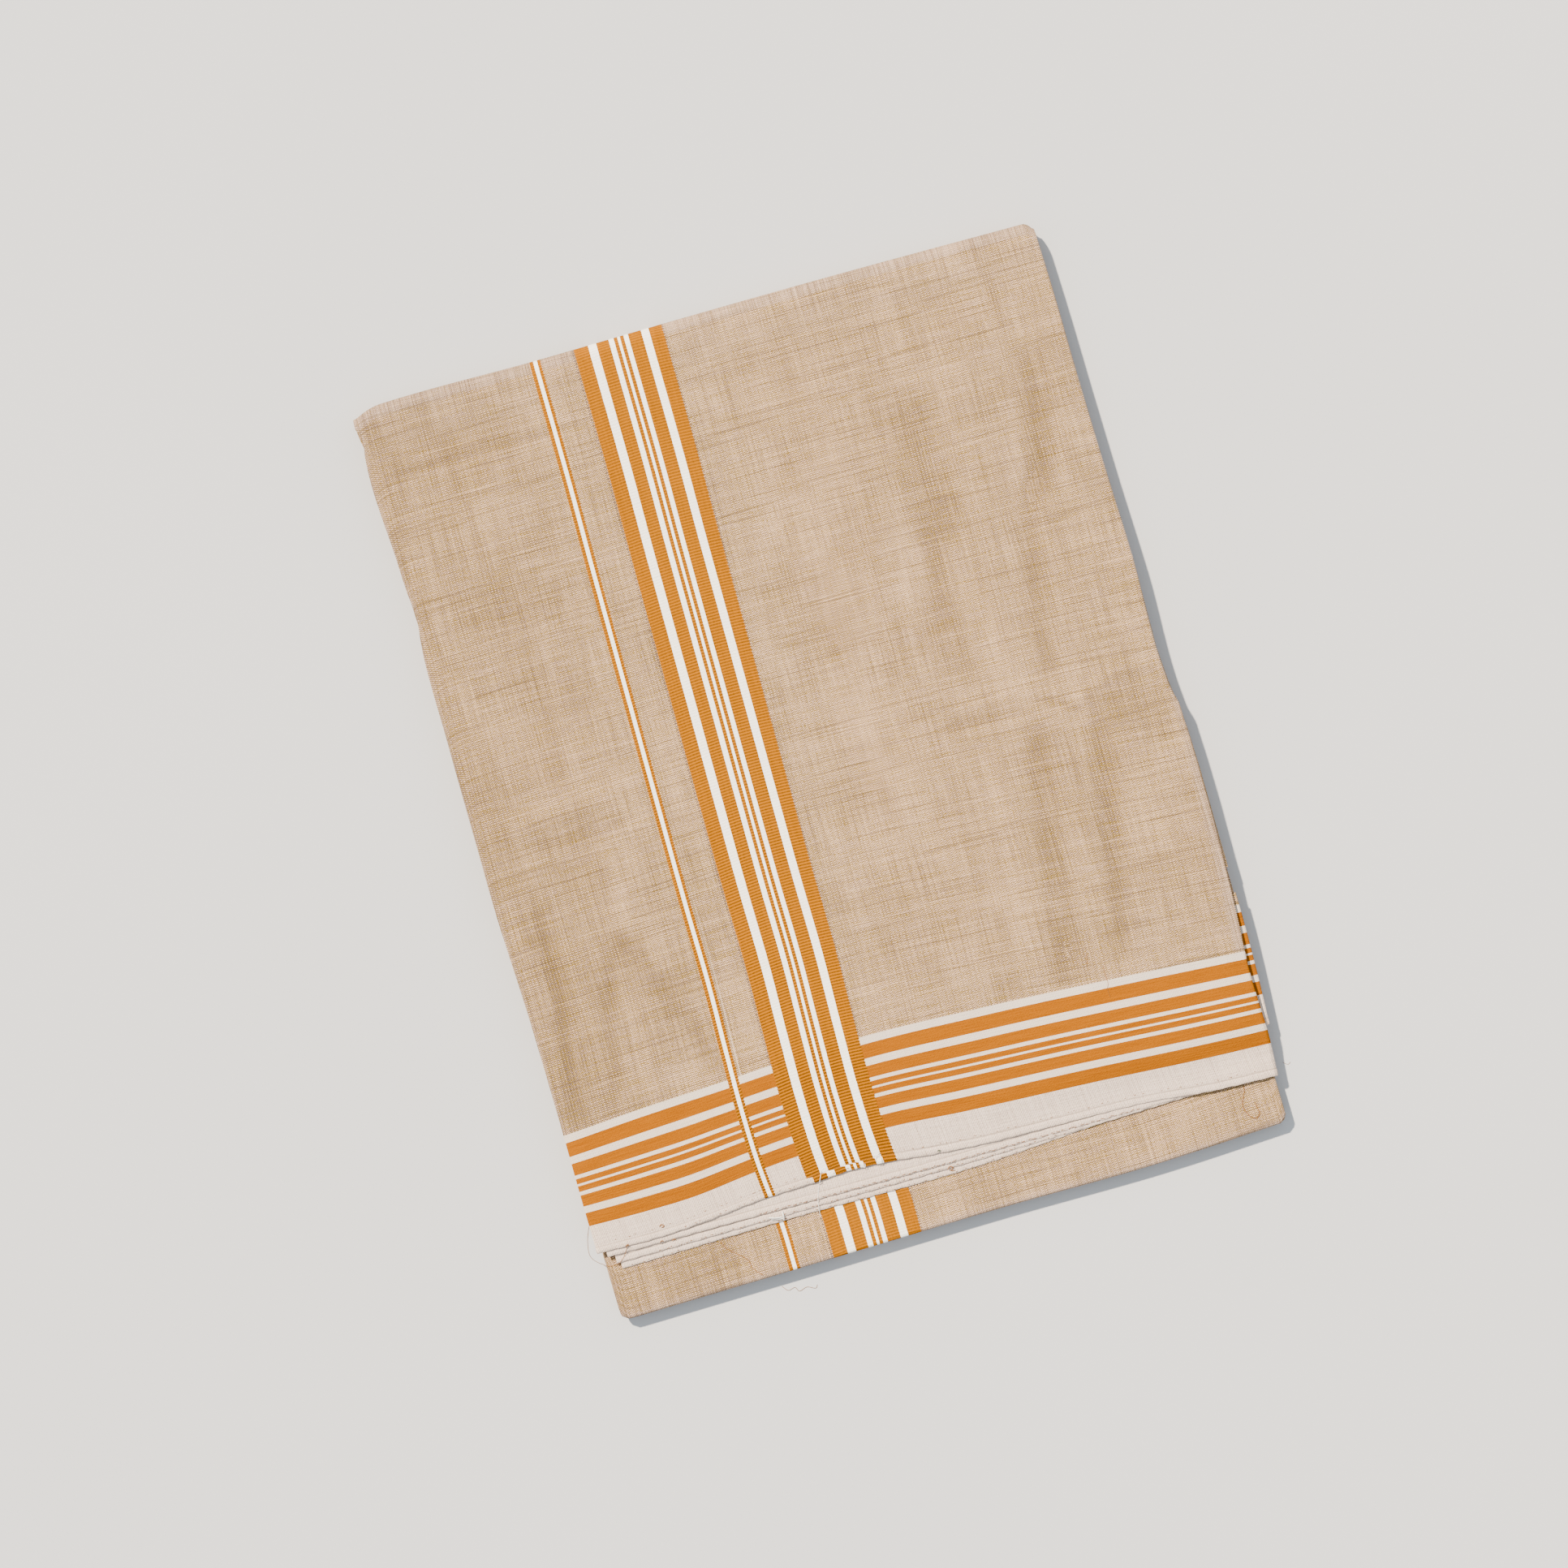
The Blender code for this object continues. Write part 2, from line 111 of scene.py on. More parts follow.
class Swell(NamedTuple):
    """A soft rise of the cloth over what lies below, oval and turned by some degrees."""

    across: float
    place: float
    half_width: float
    half_length: float
    height: float
    turn: float

    def at(self, across: Array, place: Array) -> Array:
        """Gives the height that the swell adds.

        Args:
            across: Places across the width.
            place: Places along the length.

        Returns:
            The added height at each point.
        """
        turn = math.radians(self.turn)
        side, along = across - self.across, place - self.place
        first = (side * math.cos(turn) + along * math.sin(turn)) / self.half_width
        second = (along * math.cos(turn) - side * math.sin(turn)) / self.half_length
        return self.height * np.exp(-(first**2 + second**2))


class Ripple(NamedTuple):
    """A gentle unevenness, made of a few waves whose lengths share no common measure."""

    height: float
    length_across: float
    length_along: float
    start: float

    def at(self, across: Array, place: Array) -> Array:
        """Gives the height that the ripple adds.

        Args:
            across: Places across the width.
            place: Places along the length.

        Returns:
            The height at each point, positive and negative.
        """
        found = 0.0
        for number, (tilt, stretch) in enumerate(((0.31, 1.0), (-0.47, 1.62), (0.83, 2.37))):
            x = across / self.length_across * stretch
            y = place / self.length_along * stretch
            wave = np.sin(x + tilt * y + self.start + 1.7 * number)
            found = found + wave * np.sin(y * 0.93 - tilt * x + 2.3 * self.start + number) / stretch
        return self.height * found


class Crease(NamedTuple):
    """A soft trough, or ridge, that runs in a curve along the cloth or across it."""

    half_width: float
    height: float
    line: Rows
    fade: float = 22.0
    runs_across: bool = False

    def at(self, across: Array, place: Array) -> Array:
        """Gives the height that the crease adds.

        Args:
            across: Places across the width.
            place: Places along the length.

        Returns:
            The added height at each point. It dies out towards both ends of the line.
        """
        run, beside = (across, place) if self.runs_across else (place, across)
        start, stop = self.line[0][0], self.line[-1][0]
        ends = ease(run, start, start + self.fade) * ease(run, stop, stop - self.fade)
        return self.height * ends * np.exp(-(((beside - Curve(self.line).at(run)) / self.half_width) ** 2))


# ---------------------------------------------------------------- the folded bundle


class Section(NamedTuple):
    """Points across a ply: a column for each, from one long side to the other."""

    across: Array
    height: Array
    out_across: Array
    out_height: Array
    width: Array
    part: Array


class Ply(NamedTuple):
    """One folded stretch of the length, four layers thick, and how far its sides stand in."""

    face_up: bool
    foot_height: float
    left_foot: float
    left_head: float
    right_foot: float
    right_head: float


class Fold(NamedTuple):
    """A turn of the length between two plies. It is outside if the cloth's face is."""

    upper: int
    lower: int
    at_head: bool
    outside: bool


@dataclass(frozen=True)
class Bundle:
    """The folded form: its outline, its heights, and where each thread line runs."""

    panel_width: float = 319.0
    thickness: float = 0.32
    gap: float = 0.385
    hem_gap: float = 0.86
    foot_gap_loss: float = 0.04
    head_height: float = 12.4
    head_place: float = 213.6
    foot_place: float = -213.0
    corner_radius: float = 4.2
    head_corner_radius: float = 3.0
    head_corner_drop: float = 3.4
    head_corner_reach: float = 13.0
    puff: float = 0.85
    wobble: float = 0.22
    white_end: float = 14.0
    bars_depth: float = 38.45
    bow_start: float = -128.0
    bow_stop: float = 162.0
    # Each span runs from where something starts to where it is full.
    relief_left: Span = (-160.0, -144.0)
    relief_right: Span = (158.0, 142.0)
    relief_head: Span = (205.0, 175.0)
    relief_foot: Span = (-180.0, -140.0)
    surface_left: Span = (-161.0, -152.0)
    surface_right: Span = (158.0, 149.0)
    surface_head: Span = (210.0, 198.0)
    surface_foot: Span = (-182.0, -156.0)
    settled_right: Span = (-20.0, 100.0)
    settled_foot: Span = (-163.0, -178.0)
    gap_opening: Span = (-176.0, -116.0)
    ply_opening: Span = (-176.0, -86.0)
    # The head, right and left spans below give painted light where the top layer turns.
    head_painted_light_band: Span = (188.0, 198.0)
    head_painted_light: Span = (206.5, 209.5)
    right_painted_light: Span = (-4.4, -3.2)
    right_painted_light_place: Span = (-8.0, -11.0)
    left_painted_light: Span = (-2.2, -0.6)
    left_turn: Span = (-120.0, 80.0)
    left: Curve = Curve((
        (-190, -159.6), (-165, -159.8), (-120, -159.6), (-70, -160), (-14, -161.5),
        (2, -161.4), (60, -161.1), (105, -160.4), (118, -159), (130, -160),
        (145, -160.5), (196, -161.3), (202, -160.5), (207, -161.4), (212, -162.2),
    ))
    right: Curve = Curve((
        (-190, 157.3), (-165, 159.3), (-120, 161.2), (-70, 161.6), (-16, 161.3), (-9, 161), (-3, 159.4),
        (4, 158.7), (60, 159.2), (105, 158.3), (145, 157.9), (190, 157.8), (208, 157.4),
    ))
    face_inset: Curve = Curve((
        (-180, 0), (-165, 0.4), (-150, 1.6), (-134, 2.5), (-113, 1.8), (-80, 0.5), (-50, 0),
    ))
    head_line: Curve = Curve((
        (-162, 214.4), (-139, 214.9), (-75, 214.1), (-28, 214.3), (60, 214.1), (153, 212.8),
    ))
    foot_line: Curve = Curve((
        (-158, -214), (-106, -213.5), (-60, -213), (25, -212.1), (93, -212.4), (157, -210),
    ))
    face_hem: Curve = Curve((
        (-160, -181.5), (-126, -182), (-105, -180.6), (-80, -178.3), (-57, -177.6),
        (-42, -176.7), (-21, -177.8), (-4, -179.9), (21, -181.9), (55, -182.9),
        (100, -184.5), (126, -187.3), (158, -188.8),
    ))
    top_bar_edge: Curve = Curve((
        (-162, -129.7), (-120, -127.2), (-82, -125.7), (-61, -124.6), (-19, -123.6),
        (40, -126), (100, -129.8), (160, -134.2),
    ))
    low_bar_edge: Curve = Curve((
        (-162, -168.4), (-132, -169), (-111, -168.7), (-81, -165.5), (-60, -163.9),
        (-19, -162.6), (17, -165.2), (75, -168.6), (130, -172.4), (160, -173.9),
    ))
    warp_drift: Curve = Curve((
        (-214, 2), (-190, 1.6), (-175, 0), (-165, -0.8), (-140, -1.5), (-110, -1), (-80, -0.2),
        (-40, -0.3), (0, 0), (40, 0.4), (80, 0.8), (120, 1.2), (150, 1.7), (210, 1.9),
    ))
    top_level: Curve = Curve((
        (-190, 11.6), (-178, 12.3), (-165, 13.4), (-150, 14.2), (-130, 14.6),
        (-60, 14.3), (60, 13.7), (150, 13), (200, 12.4), (208, 12.4),
    ))
    swells: tuple[Swell, ...] = (
        Swell(38, 70, 20, 74, 1.5, 4),
        Swell(99, 90, 11, 55, 2.4, -6),
        Swell(78, -55, 10, 60, 1.9, 5),
        Swell(104, -58, 8, 56, 2.2, 8),
        Swell(140, -66, 14, 44, 1.2, 4),
        Swell(150, 120, 10, 50, 1.2, -6),
        Swell(110, 165, 13, 26, 1.6, -12),
        Swell(22, -78, 20, 48, 1.2, 8),
        Swell(-118, 14, 24, 5.5, 1.7, 3),
        Swell(-141, -11, 4.5, 7, 0.8, 0),
        Swell(-128, -84, 7, 36, 1.4, 12),
        Swell(-107, -92, 7, 26, 1.4, -8),
        Swell(-118, 140, 20, 38, 1.0, -5),
    )
    creases: tuple[Crease, ...] = (
        Crease(13, -0.9, ((76, 79), (110, 79.5), (164, 82))),
        Crease(6.5, -0.9, ((8, 74), (40, 72), (80, 73), (104, 75))),
        Crease(8, -0.9, ((80, 122), (110, 133), (164, 139))),
        Crease(5, -1.0, ((4, 107), (45, 114.5), (74, 117.5), (112, 129)), 16),
        Crease(7, -1.2, ((-132, 76), (-97, 84), (-72, 87.5), (-38, 92), (3, 97))),
        Crease(5, -1.05, ((-130, 103), (-80, 113), (-47, 119), (3, 126))),
        Crease(14, -0.6, ((-48, 143), (12, 146)), 18),
        Crease(7, -0.7, ((-130, 52), (-78, 56)), 14),
        Crease(5, -0.4, ((-80, -66), (4, -70)), 14),
        Crease(3.6, -0.9, ((-128, -152), (-63, -144), (-14, -141))),
        Crease(4.2, -0.8, ((-130, -135), (-72, -122), (-40, -109)), 18),
        Crease(5.2, -0.9, ((-130, -78), (-97, -89), (-67, -100), (-40, -111)), 18),
        Crease(9, -0.5, ((46, -99), (84, -100)), 14),
        Crease(2.2, -0.8, ((50, 3), (80, 1.5), (100, 0)), 12, True),
        Crease(2.4, -0.9, ((98, 5), (108, 0.5), (122, -8)), 7, True),
        Crease(2.6, 0.8, ((54, 10), (85, 9.5), (108, 8)), 12, True),
        Crease(2.2, 0.8, ((106, -7), (122, 1), (132, 5), (162, 5.5)), 9, True),
        Crease(2.8, -0.55, ((-146, 3), (-115, 1), (-84, 4.5)), 14, True),
        Crease(1.8, -0.8, ((-158, 181), (-100, 181), (-58, 180)), 14, True),
        Crease(2.4, -0.5, ((-20, 184), (30, 183), (90, 186)), 18, True),
        Crease(0.9, -0.5, ((-158, 207.8), (0, 208.6), (156, 206.6)), 8, True),
        Crease(9, 0.9, ((-70, -178), (-42, -177), (-12, -179)), 18, True),
    )
    ripples: tuple[Ripple, ...] = (
        Ripple(0.12, 11, 42, 0.4),
        Ripple(0.07, 19, 6, 1.9),
        Ripple(0.08, 34, 15, 3.1),
    )
    plies: tuple[Ply, ...] = (
        Ply(True, 12.5, 0.0, 0.0, 0.0, 0.0),
        Ply(False, 9.1, 1.6, 0.7, -1.3, 0.9),
        Ply(True, 7.52, 2.8, 1.3, 0.9, 0.5),
        Ply(False, 6.18, 2.4, 0.7, 1.5, 1.3),
        Ply(True, 4.52, 2.0, 1.5, 1.2, 0.6),
        Ply(False, 3.24, 3.0, 0.9, 2.5, 1.4),
        Ply(True, 1.96, 2.6, 0.6, 1.9, 1.0),
        Ply(False, 0.67, 2.1, 1.5, 1.6, 1.5),
    )

    def gap_at(self, ply: int, place: Array | float) -> Array:
        """Gives the distance between the layers of a ply, wide where hems hold them apart."""
        opened = self.hem_gap - self.gap if ply == 1 else -self.foot_gap_loss
        return self.gap + opened * (1.0 - ease(place, *self.gap_opening))

    def relief(self, across: Array, place: Array) -> Array:
        """Gives the broad relief that the top plies share, low near the edges of the bundle.

        Args:
            across: Places across the width.
            place: Places along the length.

        Returns:
            The added height at each point.
        """
        found = sum(swell.at(across, place) for swell in self.swells)
        sides = ease(across, *self.relief_left) * ease(across, *self.relief_right)
        hem = 0.45 + 0.55 * ease(place, *self.relief_foot)
        return found * ease(place, *self.relief_head) * hem * (0.2 + 0.8 * sides)

    def surface(self, across: Array, place: Array) -> Array:
        """Gives the relief of the top layer alone, which stands a little off the one below.

        Args:
            across: Places across the width.
            place: Places along the length.

        Returns:
            The added height at each point.
        """
        found = sum(form.at(across, place) for form in self.creases + self.ripples) + self.puff
        sides = ease(across, *self.surface_left) * ease(across, *self.surface_right)
        hem = 0.25 + 0.75 * ease(place, *self.surface_foot)
        return found * sides * ease(place, *self.surface_head) * hem

    def crowding(self, across: Array, place: Array) -> Array:
        """Gives the painted shade and painted light of the top layer's colour.

        Args:
            across: Places across the width.
            place: Places along the length.

        Returns:
            Up to 1 of painted shade where a crease is deep, and down to -1 of painted light near the head
            fold and the sides.
        """
        # A crease's trough gets painted shade, as deep as the trough.
        crowded = -sum(np.minimum(crease.at(across, place), 0.0) for crease in self.creases)
        from_left = self.left.at(place) - across
        from_right = across - self.right.at(place) + self.face_inset.at(place)
        # The head fold and the side edges get painted light, as paler colour.
        worn = 0.15 * ease(place, *self.head_painted_light_band) + 0.5 * ease(place, *self.head_painted_light)
        worn = worn + 0.8 * ease(from_right, *self.right_painted_light) * ease(place, *self.right_painted_light_place)
        worn = worn + 0.5 * ease(from_left, *self.left_painted_light)
        return np.clip(np.clip(crowded, 0.0, 1.0) - worn, -1.0, 1.0)

    def settled(self, across: Array, place: Array) -> Array:
        """Gives how far the hems have settled onto each other, from 0 to 1 towards the right."""
        return ease(across, *self.settled_right) * ease(place, *self.settled_foot)

    def middle(self, ply: int, across: Array, place: Array) -> Array:
        """Gives the height of the middle of a ply.

        Args:
            ply: Its number, from 1 at the top to 8 on the ground.
            across: Places across the width.
            place: Places along the length.

        Returns:
            The height at each point.
        """
        half = self.thickness / 2.0
        ground = half + 1.5 * self.gap_at(8, place)
        top = self.top_level.at(place) - half - 1.5 * self.gap_at(1, place)
        if ply == 1:
            return top + self.relief(across, place)
        if ply == 8:
            return ground
        share = (8 - ply) / 7.0
        opened = ground + (top - ground) * share + self.relief(across, place) * 0.8 * share**2
        foot = self.plies[ply - 1].foot_height
        return foot + (opened - foot) * ease(place, *self.ply_opening)

    def sides(self, ply: int, place: Array | float) -> tuple[Array, Array]:
        """Gives both outer edges of a ply, the left and the right.

        Args:
            ply: Its number.
            place: Places along the length.

        Returns:
            The left and the right edge.
        """
        place = np.asarray(place, float)
        row = self.plies[ply - 1]
        share = np.clip((place - self.foot_place) / (self.head_place - self.foot_place), 0.0, 1.0)
        left = self.left.at(place) + row.left_foot + (row.left_head - row.left_foot) * share
        right = self.right.at(place) - row.right_foot - (row.right_head - row.right_foot) * share
        if ply == 1:
            return left, right - self.face_inset.at(place)
        left = left + self.wobble * np.sin(place / 17.0 + 2.1 * ply) * np.sin(place / 41.0 + ply)
        right = right + self.wobble * np.sin(place / 19.0 + 1.3 * ply) * np.sin(place / 37.0 - ply)
        return left, right

    def fold_centre(self, fold: Fold, across: Array) -> tuple[Array, float, float]:
        """Gives where the cloth turns from one ply to the next.

        Args:
            fold: Which turn.
            across: Places across the width.

        Returns:
            The place of its axis at each point, its height, and its radius to the middle
            of the ply.
        """
        side, end = (1.0, self.head_place) if fold.at_head else (-1.0, self.foot_place)
        upper, lower = (float(self.middle(ply, np.array(0.0), np.array(end))) for ply in fold[:2])
        low = fold.lower > 4 and not fold.at_head
        line = self.head_line if fold.at_head else self.foot_line
        reach = self.head_height / 2.0 if fold.at_head else 2.6 if low else 1.35
        inset = 1.6 if low else 0.0
        left, right = self.sides(fold.lower, end)
        place = line.at(across) - side * (reach + inset + self.corner(fold, across - left, right - across))
        return place, (upper + lower) / 2.0, (upper - lower) / 2.0

    def corner(self, fold: Fold, from_left: Array, from_right: Array) -> Array:
        """Gives how far a fold draws back at its corners, rounded but for one at the head.

        Args:
            fold: The fold.
            from_left: How far each point is from the left edge.
            from_right: How far it is from the right edge.

        Returns:
            The distance at each point.
        """
        if fold.at_head:
            left = self.head_corner_drop * np.clip(1.0 - from_left / self.head_corner_reach, 0.0, 1.0) ** 2
            radius, near = self.head_corner_radius, from_right
        else:
            left, near = 0.0, np.minimum(from_left, from_right)
            radius = np.where(from_left < from_right, self.corner_radius, 0.6 * self.corner_radius)
        near = np.clip(near, 0.0, radius)
        return left + radius - np.sqrt(radius**2 - (radius - near) ** 2)

    def from_hem(self, across: Array, place: Array) -> Array:
        """Gives how many threads up from the first hem a point lies, as a length.

        The bars bow with the weft, so their edges are read from two lines, and the bow
        dies out towards the head. Near the left fold the weft turns down a little.

        Args:
            across: Places across the width.
            place: Places along the length.

        Returns:
            The length at each point.
        """
        hem, low, top = (line.at(across) for line in (self.face_hem, self.low_bar_edge, self.top_bar_edge))
        flat = self.bow_start
        bow = (top - flat) * (1.0 - ease(place, flat, self.bow_stop))
        above = self.white_end + self.bars_depth + (place - flat) - bow
        turned = np.clip(1.0 - (across + 162.0) / 9.0, 0.0, 1.0) ** 2
        above = above + 2.6 * turned * ease(place, *self.left_turn)
        inside = self.white_end + self.bars_depth * (place - low) / (top - low)
        below = self.white_end * (place - hem) / (low - hem)
        return np.where(place > top, above, np.where(place > low, inside, below))

    def lay_flat(self, ply: int, section: Section, place: Array) -> tuple[Array, Array]:
        """Places a section on a ply.

        Args:
            ply: The ply's number.
            section: The section.
            place: The place along the length of each of its points.

        Returns:
            Points and normals.
        """
        side = 1.0 if self.plies[ply - 1].face_up else -1.0
        height = self.middle(ply, section.across, place) + side * section.height
        points = np.stack([section.across, place, height], -1)
        return points, np.stack([section.out_across, np.zeros_like(place), side * section.out_height], -1)

    def lay_round(self, fold: Fold, sections: tuple[Section, Section], angle: float) -> tuple[Array, Array]:
        """Places a section on a turn.

        Args:
            fold: The turn.
            sections: The sections of its lower and of its upper ply.
            angle: How far above +Y it points, in degrees.

        Returns:
            Points and normals.
        """
        below, above = sections
        cosine, sine = math.cos(math.radians(angle)), math.sin(math.radians(angle))
        share = 0.5 + 0.5 * sine
        across = (1.0 - share) * below.across + share * above.across
        height = (1.0 - share) * below.height + share * above.height
        place, middle, radius = self.fold_centre(fold, across)
        side = 1.0 if fold.outside else -1.0
        reach, out = radius + side * height, side * below.out_height
        points = np.stack([across, place + reach * cosine, middle + reach * sine], -1)
        return points, np.stack([below.out_across, out * cosine, out * sine], -1)


# ---------------------------------------------------------------- sections and sheets


class Rim(Enum):
    """The turn between two panels, seen across the width."""

    OUTER_RIGHT = "outer fold at the right, round all four layers"
    INNER_RIGHT = "fold nested inside it"
    LEFT = "fold at the left, between the first two layers"


class Layout(NamedTuple):
    """Which panels of a ply a stretch holds, as shares of each panel's width.

    A panel with one share is only the line where a fold ends.
    """

    fourth: tuple[float, ...] = ()
    first: tuple[float, ...] = ()
    second: tuple[float, ...] = ()
    third: tuple[float, ...] = ()
    turn_columns: int = 6


def spread(count: int, crowding: float = 0.0) -> tuple[float, ...]:
    """Spreads shares from 0 to 1, closer together near both ends by the given crowding."""
    even = np.linspace(0.0, 1.0, count)
    return tuple(even - crowding * np.sin(2.0 * math.pi * even))


@dataclass(frozen=True)
class Weaver:
    """Lays out the columns of a ply's section."""

    bundle: Bundle
    ply: int
    layout: Layout
    selvedge_insets: tuple[float, float] = (1.5, 0.8)
    nesting: float = 0.4

    def panel(self, name: str, level: float, ends: tuple[float, float],
              widths: tuple[float, float]) -> Iterator[tuple]:
        """Gives the columns of a flat panel.

        Args:
            name: The panel's name.
            level: Its height, from the middle of the ply.
            ends: Where it starts and ends across.
            widths: The cloth's own width at both ends.

        Yields:
            Each column.
        """
        out = 1.0 if name in ("first", "third") else -1.0
        for share in getattr(self.layout, name):
            across, width = (pair[0] + share * (pair[1] - pair[0]) for pair in (ends, widths))
            yield across, level, 0.0, out, width, name

    def turn(self, rim: Rim, axis: tuple[float, float], radius: float, width: float) -> Iterator[tuple]:
        """Gives the columns of a fold between two panels.

        Args:
            rim: Which fold it is.
            axis: Where its axis lies, across and in height.
            radius: Its radius.
            width: The cloth's own width where the fold starts.

        Yields:
            Each column.
        """
        side = -1.0 if rim is Rim.LEFT else 1.0
        facing = -1.0 if rim is Rim.INNER_RIGHT else 1.0
        for step in np.linspace(0.0, math.pi, self.layout.turn_columns + 2)[1:-1]:
            angle = step - math.pi / 2.0 if rim is Rim.OUTER_RIGHT else math.pi / 2.0 - step
            out = (side * math.cos(angle), math.sin(angle))
            at = (axis[0] + radius * out[0], axis[1] + radius * out[1])
            yield *at, facing * out[0], facing * out[1], width - radius * step, rim.name

    def section(self, place: float) -> Section:
        """Builds a section, with every panel and turn that the layout holds.

        Args:
            place: Where it is along the length.

        Returns:
            The section.
        """
        left, right = (float(edge) for edge in self.bundle.sides(self.ply, place))
        gap, wide = float(self.bundle.gap_at(self.ply, place)), self.bundle.panel_width
        half, layout = self.bundle.thickness / 2.0, self.layout
        left_axis, right_axis = left + half + gap / 2.0, right - half - 1.5 * gap
        nested = right_axis - self.nesting
        free = [left + inset for inset in self.selvedge_insets]
        columns = list(self.panel("fourth", -1.5 * gap, (free[0], right_axis), (2 * wide, wide)))
        if layout.fourth and layout.first:
            columns += self.turn(Rim.OUTER_RIGHT, (right_axis, 0.0), 1.5 * gap, wide)
        columns += self.panel("first", 1.5 * gap, (right_axis, left_axis), (wide, 0.0))
        if layout.first and layout.second:
            columns += self.turn(Rim.LEFT, (left_axis, gap), gap / 2.0, 0.0)
        columns += self.panel("second", 0.5 * gap, (left_axis, nested), (0.0, -wide))
        if layout.second and layout.third:
            columns += self.turn(Rim.INNER_RIGHT, (nested, 0.0), 0.5 * gap, -wide)
        columns += self.panel("third", -0.5 * gap, (nested, free[1]), (-wide, -2 * wide))
        return Section(*map(np.array, zip(*columns)))


@dataclass
class Sheet:
    """A stretch of thin cloth, as rows of points with what is known at each."""

    rows: list[tuple[Array, ...]] = field(default_factory=list)

    def add(self, placed: tuple[Array, Array], half: Array | float, weave: Array,
            shown: Array | bool = True, crowding: Array | float = 0.0) -> None:
        """Adds a row.

        Args:
            placed: Its points, and the way out of the cloth's face at each.
            half: Half of the cloth's thickness there.
            weave: The cloth's own width, length and distance from a hem at each point.
            shown: Whether the cloth after each point belongs to this stretch.
            crowding: Painted shade in a crease, up to 1, and painted light on a fold's turn, down to -1.
        """
        count = len(weave)
        self.rows.append((*placed, weave, *(np.broadcast_to(one, count) for one in (half, shown, crowding))))

    def lengths(self) -> Array:
        """Gives how far along the cloth each point of the last row is."""
        return self.rows[-1][2][:, 1]

    def build(self, name: str) -> bpy.types.Object:
        """Makes one closed thin shell of the rows.

        Args:
            name: The name of the object.

        Returns:
            The object, in metres, with the cloth's own coordinates on its points.
        """
        points, normals, weave, halves, shown, crowding = (np.array(part) for part in zip(*self.rows))
        rows, columns = shown.shape
        kept = shown[:-1, :-1] & shown[1:, :-1] & shown[:-1, 1:] & shown[1:, 1:]
        depth = normals * halves[..., None]
        number = np.arange(rows * columns).reshape(rows, columns)
        under = rows * columns
        corners = np.stack([number[:-1, :-1], number[1:, :-1], number[1:, 1:], number[:-1, 1:]], -1)
        faces = [corners[kept], corners[kept][:, ::-1] + under]
        padded = np.pad(kept, 1)
        for down, along, first, second in ((1, 0, 0, 1), (2, 1, 1, 2), (1, 2, 2, 3), (0, 1, 3, 0)):
            beside = padded[down : down + rows - 1, along : along + columns - 1]
            edge = corners[kept & ~beside][:, (second, first)]
            faces.append(np.concatenate([edge, edge[:, ::-1] + under], -1))
        used, fresh = np.unique(np.concatenate(faces), return_inverse=True)
        verts = np.concatenate([(points + depth).reshape(-1, 3), (points - depth).reshape(-1, 3)]) * MM
        mesh = bpy.data.meshes.new(name)
        mesh.from_pydata(verts[used].tolist(), [], fresh.reshape(-1, 4).tolist())
        # The crowding attribute carries painted shade in creases and painted light on turns.
        for title, kind, entry, values in (("weave", "FLOAT_VECTOR", "vector", weave.reshape(-1, 3) * MM),
                                           ("crowding", "FLOAT", "value", crowding.ravel())):
            both = np.concatenate([values] * 2)[used].astype(np.float32)
            mesh.attributes.new(title, kind, "POINT").data.foreach_set(entry, both.ravel())
        mesh.validate()
        mesh.shade_smooth()
        mesh.set_sharp_from_angle(angle=math.radians(60.0))
        return linked(name, mesh)


def linked(name: str, data: bpy.types.ID) -> bpy.types.Object:
    """Makes an object in the scene.

    Args:
        name: Its name.
        data: Its mesh, light or camera.

    Returns:
        The object.
    """
    found = bpy.data.objects.new(name, data)
    bpy.context.scene.collection.objects.link(found)
    return found


# ---------------------------------------------------------------- the stretches of cloth


class HemRow(NamedTuple):
    """One row of a turned hem: how far up from its edge, half its thickness, and its lift."""

    distance: float
    half: float
    lift: float


HEM_ROWS = (
    HemRow(0.00, 0.06, -0.34),
    HemRow(0.12, 0.20, -0.28),
    HemRow(0.40, 0.33, -0.17),
    HemRow(0.90, 0.40, -0.10),
    HemRow(1.60, 0.41, -0.08),
    HemRow(2.30, 0.37, -0.08),
    HemRow(2.90, 0.26, -0.11),
    HemRow(3.30, 0.14, -0.14),
    HemRow(3.80, 0.16, -0.04),
    HemRow(4.60, 0.16, 0.00),
)

# A sewn hem puckers: its edge wanders a little and rides up and down between stitches.
# The pucker dies out a little above the turned cloth.
PUCKER_EDGE = 0.2
PUCKER_LIFT = 0.13
PUCKER_REACH = 5.0

HEAD_TO_GROUND = Fold(1, 8, True, True)
OUTER_FOOT = Fold(5, 8, False, True)
CLOSED_FOOT = Fold(3, 4, False, True)
# So far from a hem that no bar of an end shows.
NO_HEM = 1000.0
# The cloth's width is counted from its left fold, which lies here across the bundle.
LEFT_FOLD = -162.1


def pucker(across: Array, start: float) -> Array:
    """Gives the unevenness of a sewn hem along its width, from -1 to 1."""
    waves = np.sin(across * 1.03 + start) + 0.8 * np.sin(across * 0.61 + 2.0 * start)
    return (waves + 0.6 * np.sin(across * 1.87 + 3.1 * start) * np.sin(across * 0.083 + start)) / 2.4


